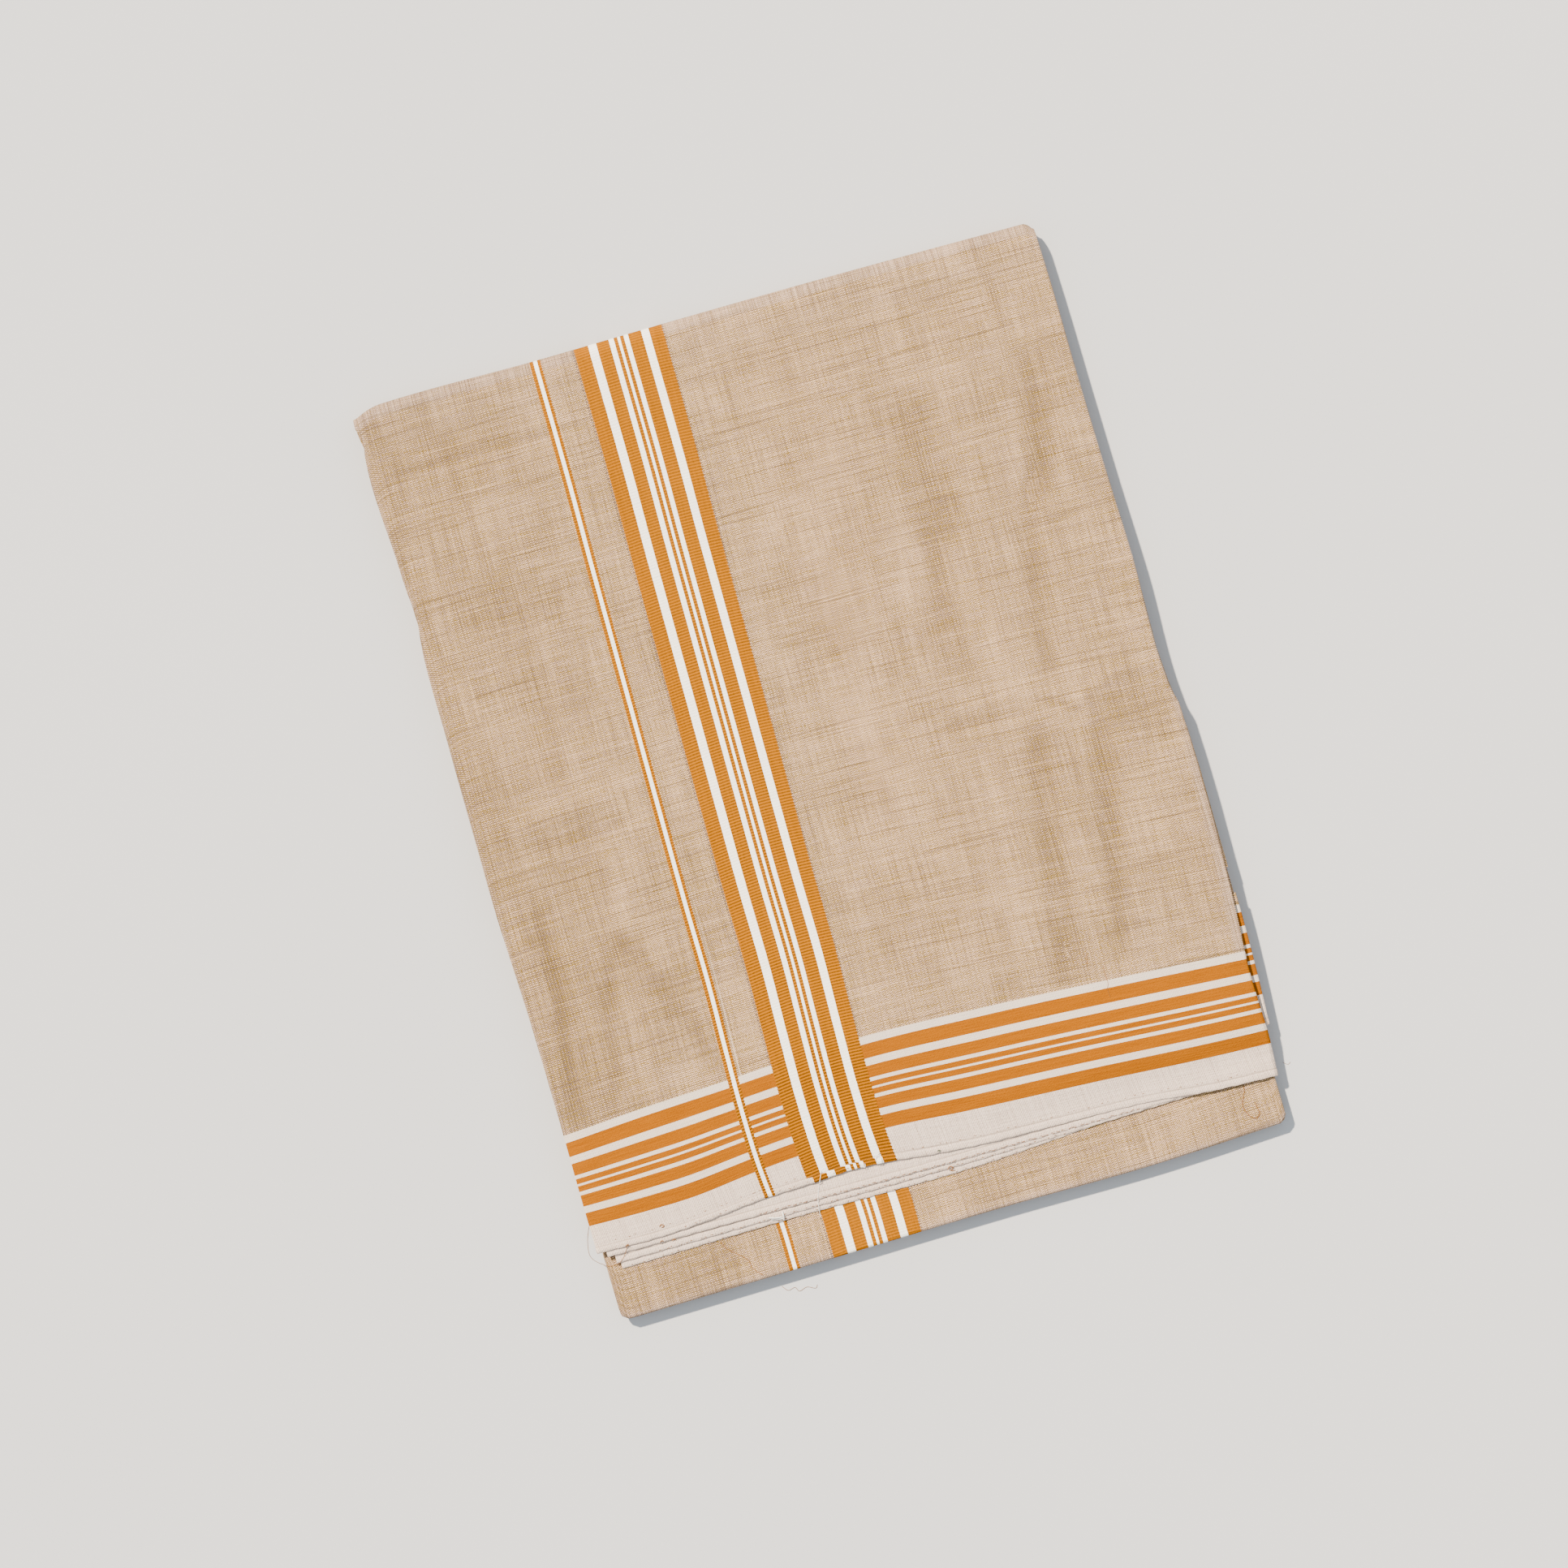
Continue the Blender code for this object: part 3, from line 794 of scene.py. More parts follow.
@dataclass
class Stretch:
    """A stretch of the cloth that shows: its mesh, the node it stands for and how it lies."""

    slot: ClassVar[str] = "face_cloth"
    bundle: Bundle
    node: str
    flat_size: tuple[float, float]

    @property
    def name(self) -> str:
        """Gives the name of the piece."""
        return f"visual_{self.node}"

    def weave(self, section: Section, points: Array, length: Array | float, from_hem: Array | float) -> Array:
        """Gives the cloth's own coordinates at each column.

        Args:
            section: The section that the points lie on.
            points: The points.
            length: How far along the cloth each point is.
            from_hem: How far it is from the nearer hem.

        Returns:
            Width, length and distance from a hem, one row for each point.
        """
        width, first = section.width.copy(), section.part == "first"
        drawn = points[:, 0] - LEFT_FOLD - self.bundle.warp_drift.at(points[:, 1])
        if first.sum() > 1:
            start, stop = np.flatnonzero(first)[[0, -1]]
            width[:start] += drawn[start] - width[start]
            width[stop + 1 :] += drawn[stop] - width[stop]
            width[first] = drawn[first]
        return np.stack(np.broadcast_arrays(width, length, from_hem), -1)

    def lay(self) -> Sheet:
        """Lays the stretch out as rows. Each kind of stretch has its own."""
        raise NotImplementedError

    def build(self, cotton: bpy.types.Material, below: str) -> bpy.types.Object:
        """Args:
            cotton: The cloth's material.
            below: The name of what it rests on. It is not used.

        Returns:
            The object.
        """
        piece = self.lay().build(self.name)
        piece.data.materials.append(cotton)
        width, length = self.flat_size
        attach(piece, ROOT)
        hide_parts(self.node)
        LOG.info("%s: %d faces", self.name, len(piece.data.polygons))
        return piece


@dataclass
class FaceStretch(Stretch):
    """The top layer, from its hem up to the middle of the head fold."""

    rows: int = 188
    turn_rows: int = 9
    layout: Layout = Layout(fourth=(1.0,), first=spread(201, 0.004), second=(0.0,))
    hem_place: float = -182.0
    flat_start: float = -178.0
    flat_length: float = 385.0
    pucker_starts: Span = (0.4, 1.9)
    sag: float = 1.56
    # Painted light, as paler colour, on the turns at the sides and on the head fold.
    rim_painted_light: float = 0.7
    head_painted_light: float = 0.8

    def lay(self) -> Sheet:
        """Lays the hem, the flat of the face and half of the head fold."""
        bundle, sheet, weaver = self.bundle, Sheet(), Weaver(self.bundle, 1, self.layout)
        plain = bundle.thickness / 2.0

        def add(section: Section, place: Array, half: float, lift: Array | float) -> None:
            """Adds a row of the flat, of some half thickness and lift."""
            points, normals = bundle.lay_flat(1, section, place)
            settled = bundle.settled(section.across, place)
            points[:, 2] += lift + bundle.surface(section.across, place) - self.sag * settled
            length = bundle.from_hem(section.across, place)
            # The crowding carries painted shade in creases, and painted light on the turns at the sides.
            crowding = bundle.crowding(section.across, place)
            sheet.add(
                (points, normals), plain + (half - plain) * (1.0 - 0.5 * settled),
                self.weave(section, points, length, length),
                crowding=np.where(section.part == "first", crowding, -self.rim_painted_light),
            )

        for row in HEM_ROWS:
            section = weaver.section(self.hem_place + row.distance)
            across, fade = section.across, max(0.0, 1.0 - row.distance / PUCKER_REACH)
            wander, ride = (fade * pucker(across, start) for start in self.pucker_starts)
            place = bundle.face_hem.at(across) + row.distance + PUCKER_EDGE * wander
            add(section, place, row.half, row.lift + PUCKER_LIFT * ride)
        for share in np.linspace(0.0, 1.0, self.rows)[1:]:
            section = weaver.section(self.flat_start + share * self.flat_length)
            start = bundle.face_hem.at(section.across) + HEM_ROWS[-1].distance
            stop = bundle.fold_centre(HEAD_TO_GROUND, section.across)[0]
            add(section, start + share * (stop - start), plain, 0.0)
        section = weaver.section(bundle.head_place)
        start = sheet.lengths()
        # The head fold's turn gets painted light.
        for angle in np.linspace(90.0, 0.0, self.turn_rows)[1:]:
            placed = bundle.lay_round(HEAD_TO_GROUND, (section, section), angle)
            length = start + math.radians(90.0 - angle) * bundle.head_height / 2.0
            sheet.add(placed, plain, self.weave(section, placed[0], length, length), crowding=-self.head_painted_light)
        return sheet


@dataclass
class EndLayer(Stretch):
    """A hemmed layer of an end, from where the bundle hides it down to its hem."""

    slot: ClassVar[str] = "end_cloth"
    hem: Curve
    layout: Layout
    ply: int = 1
    rows: int = 34
    left_corner: float | None = None
    corner_inset: float = 4.4
    least_inset: float = 1.4
    corner_rise: float = 1.4
    inner_place: float = -104.0
    hem_scale: float = 1.0
    pucker_start: float = 0.9
    sag: float = 0.0

    def lay(self) -> Sheet:
        """Lays the hem and the flat of the layer."""
        bundle, sheet, weaver = self.bundle, Sheet(), Weaver(self.bundle, self.ply, self.layout)
        plain, last = bundle.thickness / 2.0, HEM_ROWS[-1].distance
        rows = [(row, 0.0) for row in HEM_ROWS]
        rows += [(HemRow(last, plain, 0.0), share) for share in spread(self.rows)[1:]]
        for row, share in rows:
            place = self.hem.rows[0][1] + row.distance
            section = self.drawn_in(weaver.section(place + share * (self.inner_place - place)), share)
            across, fade = section.across, 0.0 if share else max(0.0, 1.0 - row.distance / PUCKER_REACH)
            wander = fade * PUCKER_EDGE * pucker(across, self.pucker_start)
            start = self.hem.at(across) + row.distance + wander
            places = start + share * (self.inner_place - start)
            points, normals = bundle.lay_flat(self.ply, section, places)
            settled = bundle.settled(across, places)
            points[:, 2] += row.lift * self.hem_scale - self.sag * settled
            points[:, 2] += fade * PUCKER_LIFT * self.hem_scale * pucker(across, self.pucker_start + 1.5)
            thick = plain + (row.half - plain) * self.hem_scale * (1.0 - 0.5 * settled)
            length = np.maximum(places - self.hem.at(across), 0.0)
            sheet.add((points, normals), thick, self.weave(section, points, length, length))
        return sheet

    def drawn_in(self, section: Section, share: float) -> Section:
        """Moves the left edge of a section in to the layer's own corner, if it has one.

        Args:
            section: The section.
            share: How far up the layer it is, from its hem at 0.

        Returns:
            The section, or a narrower one.
        """
        if self.left_corner is None:
            return section
        left, right = section.across.min(), section.across.max()
        risen = float(ease(self.corner_rise * share, 0.0, 1.0))
        target = self.left_corner + (left + self.corner_inset - self.left_corner) * risen
        target = max(target, left + self.least_inset)
        across = target + (section.across - left) / (right - left) * (right - target)
        return section._replace(across=across)


@dataclass
class FootFold(Stretch):
    """A fold at the foot: the closed fold, or the underside with the outer fold."""

    fold: Fold = CLOSED_FOOT
    lower_start: float = -142.0
    upper_stop: float = -142.0
    from_head: bool = False
    length_before: float = 1700.0
    rows: tuple[int, int] = (12, 22)
    turn_rows: tuple[int, int] = (9, 15)
    layout: Layout = Layout(fourth=(1.0,), first=spread(121, 0.006), second=(0.0,))
    # Painted light, as paler colour, on the side turns, the head fold, the foot's turn and just above it.
    rim_painted_light: float = 0.7
    head_painted_light: float = 0.8
    upper_painted_light: float = 0.6
    upper_painted_light_loss: float = 10.0
    first_upper_share: float = 0.008

    def lay(self) -> Sheet:
        """Lays the lower ply, the turn at the foot and the upper ply."""
        bundle, sheet = self.bundle, Sheet()
        lower, upper = (Weaver(bundle, ply, self.layout) for ply in (self.fold.lower, self.fold.upper))

        def add(section: Section, placed: tuple[Array, Array], length: Array, worn: float = 0.0) -> None:
            """Adds a row of the fold, with painted light all along it or only at its sides."""
            worn = np.maximum(worn, np.where(section.part == "first", 0.0, self.rim_painted_light))
            weave = self.weave(section, placed[0], length, NO_HEM)
            sheet.add(placed, bundle.thickness / 2.0, weave, crowding=-worn)

        start = self.lower_start
        if self.from_head:
            top = Weaver(bundle, 1, self.layout)
            both = (lower.section(bundle.head_place), top.section(bundle.head_place))
            # The head fold's turn gets painted light.
            for angle in np.linspace(0.0, -90.0, self.turn_rows[0]):
                length = self.length_before - math.radians(90.0 + angle) * bundle.head_height / 2.0
                add(both[0], bundle.lay_round(HEAD_TO_GROUND, both, angle), length, self.head_painted_light)
            start = bundle.fold_centre(HEAD_TO_GROUND, both[0].across)[0]
        for share in np.linspace(0.0, 1.0, self.rows[0])[int(self.from_head) :]:
            section = lower.section(np.max(start) + share * (bundle.foot_place - np.max(start)))
            stop = bundle.fold_centre(self.fold, section.across)[0]
            place = start + share * (stop - start)
            length = self.length_before + np.max(start) - place
            add(section, bundle.lay_flat(self.fold.lower, section, place), length)
        before = sheet.lengths()
        both = (lower.section(bundle.foot_place), upper.section(bundle.foot_place))
        radius = bundle.fold_centre(self.fold, both[0].across)[2] + 1.5 * bundle.gap
        # The turn at the foot gets full painted light.
        for angle in np.linspace(-90.0, -270.0, self.turn_rows[1])[1:]:
            length = before + math.radians(-90.0 - angle) * radius
            add(both[1], bundle.lay_round(self.fold, both, angle), length, 1.0)
        before = sheet.lengths()
        # The first row above the turn keeps some painted light.
        for share in (self.first_upper_share, *np.linspace(0.0, 1.0, self.rows[1])[1:]):
            section = upper.section(bundle.foot_place + share * (self.upper_stop - bundle.foot_place))
            stop = bundle.fold_centre(self.fold, section.across)[0]
            place = stop + share * (self.upper_stop - stop)
            placed = bundle.lay_flat(self.fold.upper, section, place)
            painted_upper_light = max(0.0, self.upper_painted_light - self.upper_painted_light_loss * share)
            add(section, placed, before + place - stop, painted_upper_light)
        return sheet


class Run(NamedTuple):
    """One run of the hidden cloth along a ply, and what of it other stretches show."""

    ply: int
    towards_head: bool
    turn_after: Fold | None
    shown_elsewhere: float


@dataclass
class HiddenPlies(Stretch):
    """The rest of the cloth: every layer of every ply that no other stretch holds."""

    slot: ClassVar[str] = "folded_cloth"
    rows: int = 30
    turn_rows: int = 11
    run_length: float = 425.0
    hem_place: float = -162.0
    first_end: float = -104.0
    second_end: float = -160.0
    layout: Layout = Layout(*[spread(9, 0.12)] * 4, turn_columns=5)
    runs: tuple[Run, ...] = (
        Run(1, True, HEAD_TO_GROUND, 300.0),
        Run(8, False, OUTER_FOOT, 300.0),
        Run(5, True, Fold(4, 5, True, False), -182.0),
        Run(4, False, CLOSED_FOOT, -142.0),
        Run(3, True, Fold(3, 6, True, True), -142.0),
        Run(6, False, Fold(6, 7, False, False), -300.0),
        Run(7, True, Fold(2, 7, True, False), -300.0),
        Run(2, False, None, -104.0),
    )

    def owned(self, section: Section, ply: int, elsewhere: bool) -> Array:
        """Says which columns belong to this piece.

        Args:
            section: The section.
            ply: The ply that it lies on.
            elsewhere: Whether another stretch holds the ply's outer layer here.

        Returns:
            One flag for each column.
        """
        outer = ("fourth",) if ply == 2 else ("first", Rim.LEFT.name)
        return ~(elsewhere & np.isin(section.part, (Rim.OUTER_RIGHT.name, *outer)))

    def lay(self) -> Sheet:
        """Lays every run and every turn, from the first end to the second."""
        bundle, sheet, length, before = self.bundle, Sheet(), 0.0, None
        half = bundle.thickness / 2.0
        for run in self.runs:
            weaver, fold = Weaver(bundle, run.ply, self.layout), run.turn_after
            low = {1: self.first_end, 2: self.second_end}.get(run.ply, bundle.foot_place)
            at_head, at_foot = (fold, before) if run.towards_head else (before, fold)
            for share in spread(self.rows, 0.09):
                along = share if run.towards_head else 1.0 - share
                section = weaver.section(low + along * (bundle.head_place - low))
                stop = bundle.fold_centre(at_head, section.across)[0]
                start = bundle.fold_centre(at_foot, section.across)[0] if at_foot else low
                place = start + along * (stop - start)
                placed = bundle.lay_flat(run.ply, section, place)
                hem = place - self.hem_place if run.ply == 2 else NO_HEM
                weave = self.weave(section, placed[0], length + share * self.run_length, hem)
                elsewhere = bool(np.mean(place) < run.shown_elsewhere)
                sheet.add(placed, half, weave, self.owned(section, run.ply, elsewhere))
            length += self.run_length
            before = fold
            if fold is None:
                continue
            end = bundle.head_place if fold.at_head else bundle.foot_place
            both = tuple(Weaver(bundle, ply, self.layout).section(end) for ply in (fold.lower, fold.upper))
            sweep = (-90.0, 90.0) if fold.at_head else (-90.0, -270.0)
            sweep = sweep if run.ply == fold.lower else sweep[::-1]
            elsewhere = fold in (HEAD_TO_GROUND, OUTER_FOOT, CLOSED_FOOT)
            for angle in np.linspace(*sweep, self.turn_rows)[1:-1]:
                placed = bundle.lay_round(fold, both, angle)
                weave = self.weave(both[0], placed[0], length, NO_HEM)
                sheet.add(placed, half, weave, self.owned(both[0], fold.lower, elsewhere))
                length += 1.0
        return sheet


# ---------------------------------------------------------------- finishes


def linear(colour: str) -> tuple[float, float, float, float]:
    """Turns an sRGB hex colour into a linear one.

    Args:
        colour: The colour, as # and six digits.

    Returns:
        Its red, green and blue, and an alpha of 1.
    """
    channels = [int(colour[start : start + 2], 16) / 255.0 for start in (1, 3, 5)]
    found = [c / 12.92 if c <= 0.04045 else ((c + 0.055) / 1.055) ** 2.4 for c in channels]
    return (found[0], found[1], found[2], 1.0)


def add_node(tree: Tree, kind: str, inputs: dict | None = None, **settings: object) -> bpy.types.Node:
    """Adds one node with its settings and links.

    Args:
        tree: The tree to add to.
        kind: The node's type.
        inputs: Values or sockets, by the name or number of the node's input.
        **settings: The node's own properties.

    Returns:
        The node.
    """
    found = tree.nodes.new(kind)
    for name, value in settings.items():
        setattr(found, name, value)
    for key, value in (inputs or {}).items():
        if isinstance(value, Socket):
            tree.links.new(value, found.inputs[key])
        else:
            found.inputs[key].default_value = value
    return found


@dataclass(frozen=True)
class Finish:
    """What every finish shares: its name, and how it becomes a material."""

    name: str

    def surface(self, tree: Tree) -> dict[str, object]:
        """Gives the shader's inputs. Each finish has its own."""
        raise NotImplementedError

    def mottled(self, tree: Tree, scale: float, detail: float, *colours: str) -> tuple[Socket, Socket]:
        """Mixes two colours in soft spots.

        Args:
            tree: The tree to add to.
            scale: How many spots there are to a metre.
            detail: How much finer the finest of them are.
            *colours: The darker colour and the lighter one.

        Returns:
            The spots, from 0 to 1, and the mixed colour.
        """
        at = add_node(tree, "ShaderNodeTexCoord").outputs["Object"]
        inputs = {"Vector": at, "Scale": scale, "Detail": detail}
        spots = add_node(tree, "ShaderNodeTexNoise", inputs).outputs["Fac"]
        inputs = {0: spots, 6: linear(colours[0]), 7: linear(colours[1])}
        return spots, add_node(tree, "ShaderNodeMix", inputs, data_type="RGBA").outputs[2]

    def material(self) -> bpy.types.Material:
        """Builds the material."""
        found = bpy.data.materials.new(self.name)
        found.use_nodes = True
        tree = found.node_tree
        tree.nodes.clear()
        shader = add_node(tree, "ShaderNodeBsdfPrincipled", self.surface(tree))
        add_node(tree, "ShaderNodeOutputMaterial", {0: shader.outputs[0]})
        return found


class Yarn(Enum):
    """What the yarn of a stripe or bar is, as the mask colour that stands for it."""

    GROUND = (0.0, 0.0, 0.0, 1.0)
    OCHRE = (1.0, 0.0, 0.0, 1.0)
    WHITE = (0.0, 1.0, 0.0, 1.0)


class Band(NamedTuple):
    """Where a stripe or bar starts, in millimetres, and its yarn."""

    start: float
    yarn: Yarn


def alternating(first: Yarn, second: Yarn, *starts: float) -> tuple[Band, ...]:
    """Gives bands of two yarns in turn, from where each one starts."""
    return tuple(Band(start, (first, second)[number % 2]) for number, start in enumerate(starts))


# Across the cloth, the narrow stripe and the wide border, each with the ground after it.
BORDER_STRIPES = (
    Band(75.0, Yarn.GROUND),
    *alternating(Yarn.OCHRE, Yarn.WHITE, 81.7, 83.25, 85.0),
    Band(86.55, Yarn.GROUND),
    *alternating(Yarn.OCHRE, Yarn.WHITE, 102.4, 109.15, 112.95, 118.8, 121.1, 122.9, 124.05,
                 125.75, 127.9, 133.95, 137.65),
    Band(143.7, Yarn.GROUND),
)

# Along the cloth, from its hem: the white end, the bars and the ground.
END_BARS = (
    *alternating(Yarn.WHITE, Yarn.OCHRE, 0.0, 14.0, 20.0, 23.2, 28.2, 30.0, 32.5, 33.4, 35.7,
                 37.3, 42.7, 46.0, 52.45),
    Band(55.9, Yarn.GROUND),
)


class Grain(NamedTuple):
    """Unevenness that is drawn out along the cloth: its size in millimetres both ways."""

    name: str
    across: float
    along: float
    detail: float
    roughness: float


class Lines(NamedTuple):
    """Thread lines, from -1 between to 1 on a thread: what they count along, and their pitch."""

    name: str
    source: str
    pitch: float


class Fade(NamedTuple):
    """A value that goes from least to most as another goes from start to stop."""

    name: str
    source: str
    start: float
    stop: float
    most: float = 1.0
    least: float = 0.0


@dataclass
class Cloth:
    """A woven cloth's colours as they are put together: the tree, and its values by name."""

    tree: Tree
    parts: dict[str, Socket] = field(default_factory=dict)

    def work_out(self, steps: tuple[tuple, ...]) -> None:
        """Works out more values by name.

        Args:
            steps: For each one its name, the sum to do, and what to do it with: sockets,
                numbers, or the names of values.
        """
        for name, operation, *terms in steps:
            inputs = {place: self.parts[term] if isinstance(term, str) else term
                      for place, term in enumerate(terms)}
            self.parts[name] = add_node(self.tree, "ShaderNodeMath", inputs, operation=operation).outputs[0]

    def weighed(self, start: float, **weights: float) -> Socket:
        """Adds named values up.

        Args:
            start: What to add them to.
            **weights: The weight of each value.

        Returns:
            The sum.
        """
        found = start
        for name, weight in weights.items():
            inputs = {0: self.parts[name], 1: weight, 2: found}
            found = add_node(self.tree, "ShaderNodeMath", inputs, operation="MULTIPLY_ADD").outputs[0]
        return found

    def layered(self, under: Socket | str, *layers: tuple[Socket, Socket | str]) -> Socket:
        """Lays colours over each other, given as sockets or as hex values.

        Args:
            under: The lowest colour.
            *layers: How much of each next colour shows, and that colour.

        Returns:
            The mixed colour.
        """
        for share, over in layers:
            first, second = (linear(one) if isinstance(one, str) else one for one in (under, over))
            under = add_node(self.tree, "ShaderNodeMix", {0: share, 6: first, 7: second}, data_type="RGBA",
                             clamp_factor=True).outputs[2]
        return under

    def bands(self, place: Socket, bands: tuple[Band, ...], stop: float) -> tuple[Socket, Socket]:
        """Turns a place in the cloth into the yarn there.

        Args:
            place: The place, in metres.
            bands: The stripes or bars.
            stop: Where the last one has surely started, in millimetres.

        Returns:
            Where the ochre yarn is, and where the white yarn is.
        """
        start = bands[0].start
        inside = add_node(self.tree, "ShaderNodeMapRange", {0: place, 1: start * MM, 2: stop * MM})
        ramp = add_node(self.tree, "ShaderNodeValToRGB", {0: inside.outputs[0]})
        ramp.color_ramp.interpolation = "CONSTANT"
        stops = ramp.color_ramp.elements
        stops.remove(stops[1])
        stops[0].position, stops[0].color = 0.0, bands[0].yarn.value
        for band in bands[1:]:
            stops.new((band.start - start) / (stop - start)).color = band.yarn.value
        mask = add_node(self.tree, "ShaderNodeSeparateColor", {0: ramp.outputs[0]})
        return mask.outputs[0], mask.outputs[1]


@dataclass(frozen=True)
class HandloomCotton(Finish):
    """Plain-woven handloom cotton, yarn-dyed.

    The ground has ivory warp over tan weft, so it reads as fine dots in broken lines
    across the cloth, with slubs and paler patches. Its border is warp-faced: the weft
    makes it ribbed. The bars of its ends are weft-faced, and its white end is finely
    ribbed along the warp. It is matt all over.
    """

    name: str = "handloom_cotton_yarn_dyed"
    ground_light: str = "#f5caa0"
    ground_tan: str = "#6e5820"
    ground_mauve: str = "#46383e"
    # Pale and dark colours of the painted light on the turns of the folds.
    painted_fold_light_pale: str = "#b09f9a"
    painted_fold_light_dark: str = "#5c4b48"
    slub: str = "#4e3d24"
    # Each groove colour is painted shade in the hollow between ribs.
    ochre_warp: str = "#a16000"
    ochre_groove_painted_shade: str = "#5e3600"
    white_warp: str = "#fffaf0"
    white_groove_painted_shade: str = "#d8ccb8"
    ochre_weft: str = "#9c5a00"
    ochre_weft_shade: str = "#6c3400"
    white_bar: str = "#cfc0b0"
    white_weft: str = "#ecd6c6"
    white_weft_shade: str = "#846e5e"
    # The beat-up bows the ribs a little. A slub belongs to one weft thread. Some lines are
    # only a thread or two wide: the hem's stitches, a few slack warp ends, and the border's
    # edges, where dark gaps show between the ribs.
    steps: tuple[tuple, ...] = (
        ("beside", "SUBTRACT", "width", 128.0 * MM),
        ("bow", "MULTIPLY", "beside", "beside"),
        ("bowed", "MULTIPLY_ADD", "bow", 1.8, "length"),
        ("thread", "SNAP", "length", 0.42 * MM),
        # The crowding attribute's positive part is painted shade in the creases.
        ("crowded", "MAXIMUM", "crowding", 0.0),
        ("border", "GREATER_THAN", "width", 96.0 * MM),
        ("stitch_line", "COMPARE", "hem", 3.2 * MM, 0.3 * MM),
        ("slack_line", "COMPARE", "width", 88.1 * MM, 0.3 * MM),
        ("left_edge", "COMPARE", "width", 102.0 * MM, 0.5 * MM),
        ("right_edge", "COMPARE", "width", 144.1 * MM, 0.5 * MM),
    )
    # The real threads are about 0.4 mm apart, which is finer than a pixel, so the dots of
    # the weave are drawn at a little over twice that, and longer across the cloth, as the
    # tan weft shows in dashes. The border's ribs are at their real pitch.
    lines: tuple[Lines, ...] = (
        Lines("ribs", "bowed", 1.38),
        Lines("uprights", "width", 0.76),
        Lines("dashes", "width", 1.4),
        Lines("rows", "length", 0.92),
    )
    grains: tuple[Grain, ...] = (
        Grain("speckle", 0.9, 0.6, 1.0, 0.6),
        Grain("wefts", 17.0, 0.5, 1.0, 0.6),
        Grain("warps", 0.8, 34.0, 1.0, 0.6),
        Grain("bunches", 42.0, 2.9, 2.0, 0.7),
        Grain("patches", 26.0, 44.0, 3.0, 0.62),
        Grain("tracks", 9.0, 150.0, 2.0, 0.6),
    )
    # Towards an end the weft is beaten up firmer: ribs are deeper there, and so is the painted shade in their
    # grooves.
    # The slack warp ends show near it too.
    fades: tuple[Fade, ...] = (
        Fade("firm", "hem", 420.0 * MM, 45.0 * MM, 1.15, 0.5),
        Fade("deeper", "hem", 58.0 * MM, 46.0 * MM, 0.2),
        Fade("packed", "hem", 13.6 * MM, 14.4 * MM, 0.75),
        Fade("turned", "hem", 3.1 * MM, 2.7 * MM, -2.7 * MM),
        Fade("leaning", "width", 140.0 * MM, 113.0 * MM),
        Fade("edge", "width", 110.0 * MM, 10.0 * MM, -0.1),
        # The crowding attribute's negative part is painted light on the turns.
        Fade("worn", "crowding", 0.0, -1.0, 0.4),
        Fade("thick", "slubs", 0.72, 0.84, 0.5),
        Fade("thin", "slubs", 0.24, 0.14, 0.14),
        Fade("near_end", "hem", 150.0 * MM, 70.0 * MM, 0.3),
        Fade("gaps", "ribs", -0.35, -0.9, 0.95),
        Fade("sunk", "uprights", -0.6, 0.6, 0.55),
    )
    products: tuple[tuple, ...] = (
        ("dots", "MULTIPLY", "dashes", "rows"),
        ("firm_ribs", "MULTIPLY", "ribs", "firm"),
        ("leaning_border", "MULTIPLY", "border", "leaning"),
        ("aside", "MULTIPLY", "turned", "leaning_border"),
        ("stitches", "MULTIPLY", "stitch_line", "sunk"),
        ("slack", "MULTIPLY", "slack_line", "near_end"),
        ("left_gaps", "MULTIPLY", "left_edge", "gaps"),
        ("right_gaps", "MULTIPLY", "right_edge", "gaps"),
    )
    slub_length: float = 70.0

    def weave(self, tree: Tree) -> Cloth:
        """Finds all that the colours depend on, from the cloth's own coordinates.

        Args:
            tree: The material's tree.

        Returns:
            The cloth, with its values by name.
        """
        cloth = Cloth(tree)
        parts = cloth.parts
        weave = add_node(tree, "ShaderNodeAttribute", attribute_name="weave").outputs["Vector"]
        place = add_node(tree, "ShaderNodeSeparateXYZ", {0: weave})
        parts["width"], parts["length"], parts["hem"] = place.outputs
        # The crowding attribute: painted shade in creases, painted light on the turns.
        parts["crowding"] = add_node(tree, "ShaderNodeAttribute", attribute_name="crowding").outputs["Fac"]
        cloth.work_out(self.steps)
        for name, source, pitch in self.lines:
            cloth.work_out(((name, "MULTIPLY", source, 2.0 * math.pi / (pitch * MM)), (name, "SINE", name)))
        for name, across, along, detail, roughness in self.grains:
            inputs = {0: weave, 1: (1.0 / (across * MM), 1.0 / (along * MM), 0.0)}
            at = add_node(tree, "ShaderNodeVectorMath", inputs, operation="MULTIPLY").outputs[0]
            inputs = {"Vector": at, "Scale": 1.0, "Detail": detail, "Roughness": roughness}
            noise = add_node(tree, "ShaderNodeTexNoise", inputs, noise_dimensions="2D").outputs["Fac"]
            cloth.work_out(((name, "SUBTRACT", noise, 0.5),))
        # Each weft thread is thicker and darker here and there, and elsewhere thinner and paler.
        own = add_node(tree, "ShaderNodeTexWhiteNoise", {"W": parts["thread"]}, noise_dimensions="1D")
        parts["own"] = own.outputs["Value"]
        inputs = {"W": cloth.weighed(0.0, width=1.0, own=3.0), "Scale": 1.0 / (self.slub_length * MM)}
        slubs = add_node(tree, "ShaderNodeTexNoise", {**inputs, "Detail": 0.0}, noise_dimensions="1D")
        parts["slubs"] = slubs.outputs["Fac"]
        for name, source, start, stop, most, least in self.fades:
            inputs = {0: parts[source], 1: start, 2: stop, 3: least, 4: most}
            parts[name] = add_node(tree, "ShaderNodeMapRange", inputs).outputs[0]
        cloth.work_out(self.products)
        return cloth

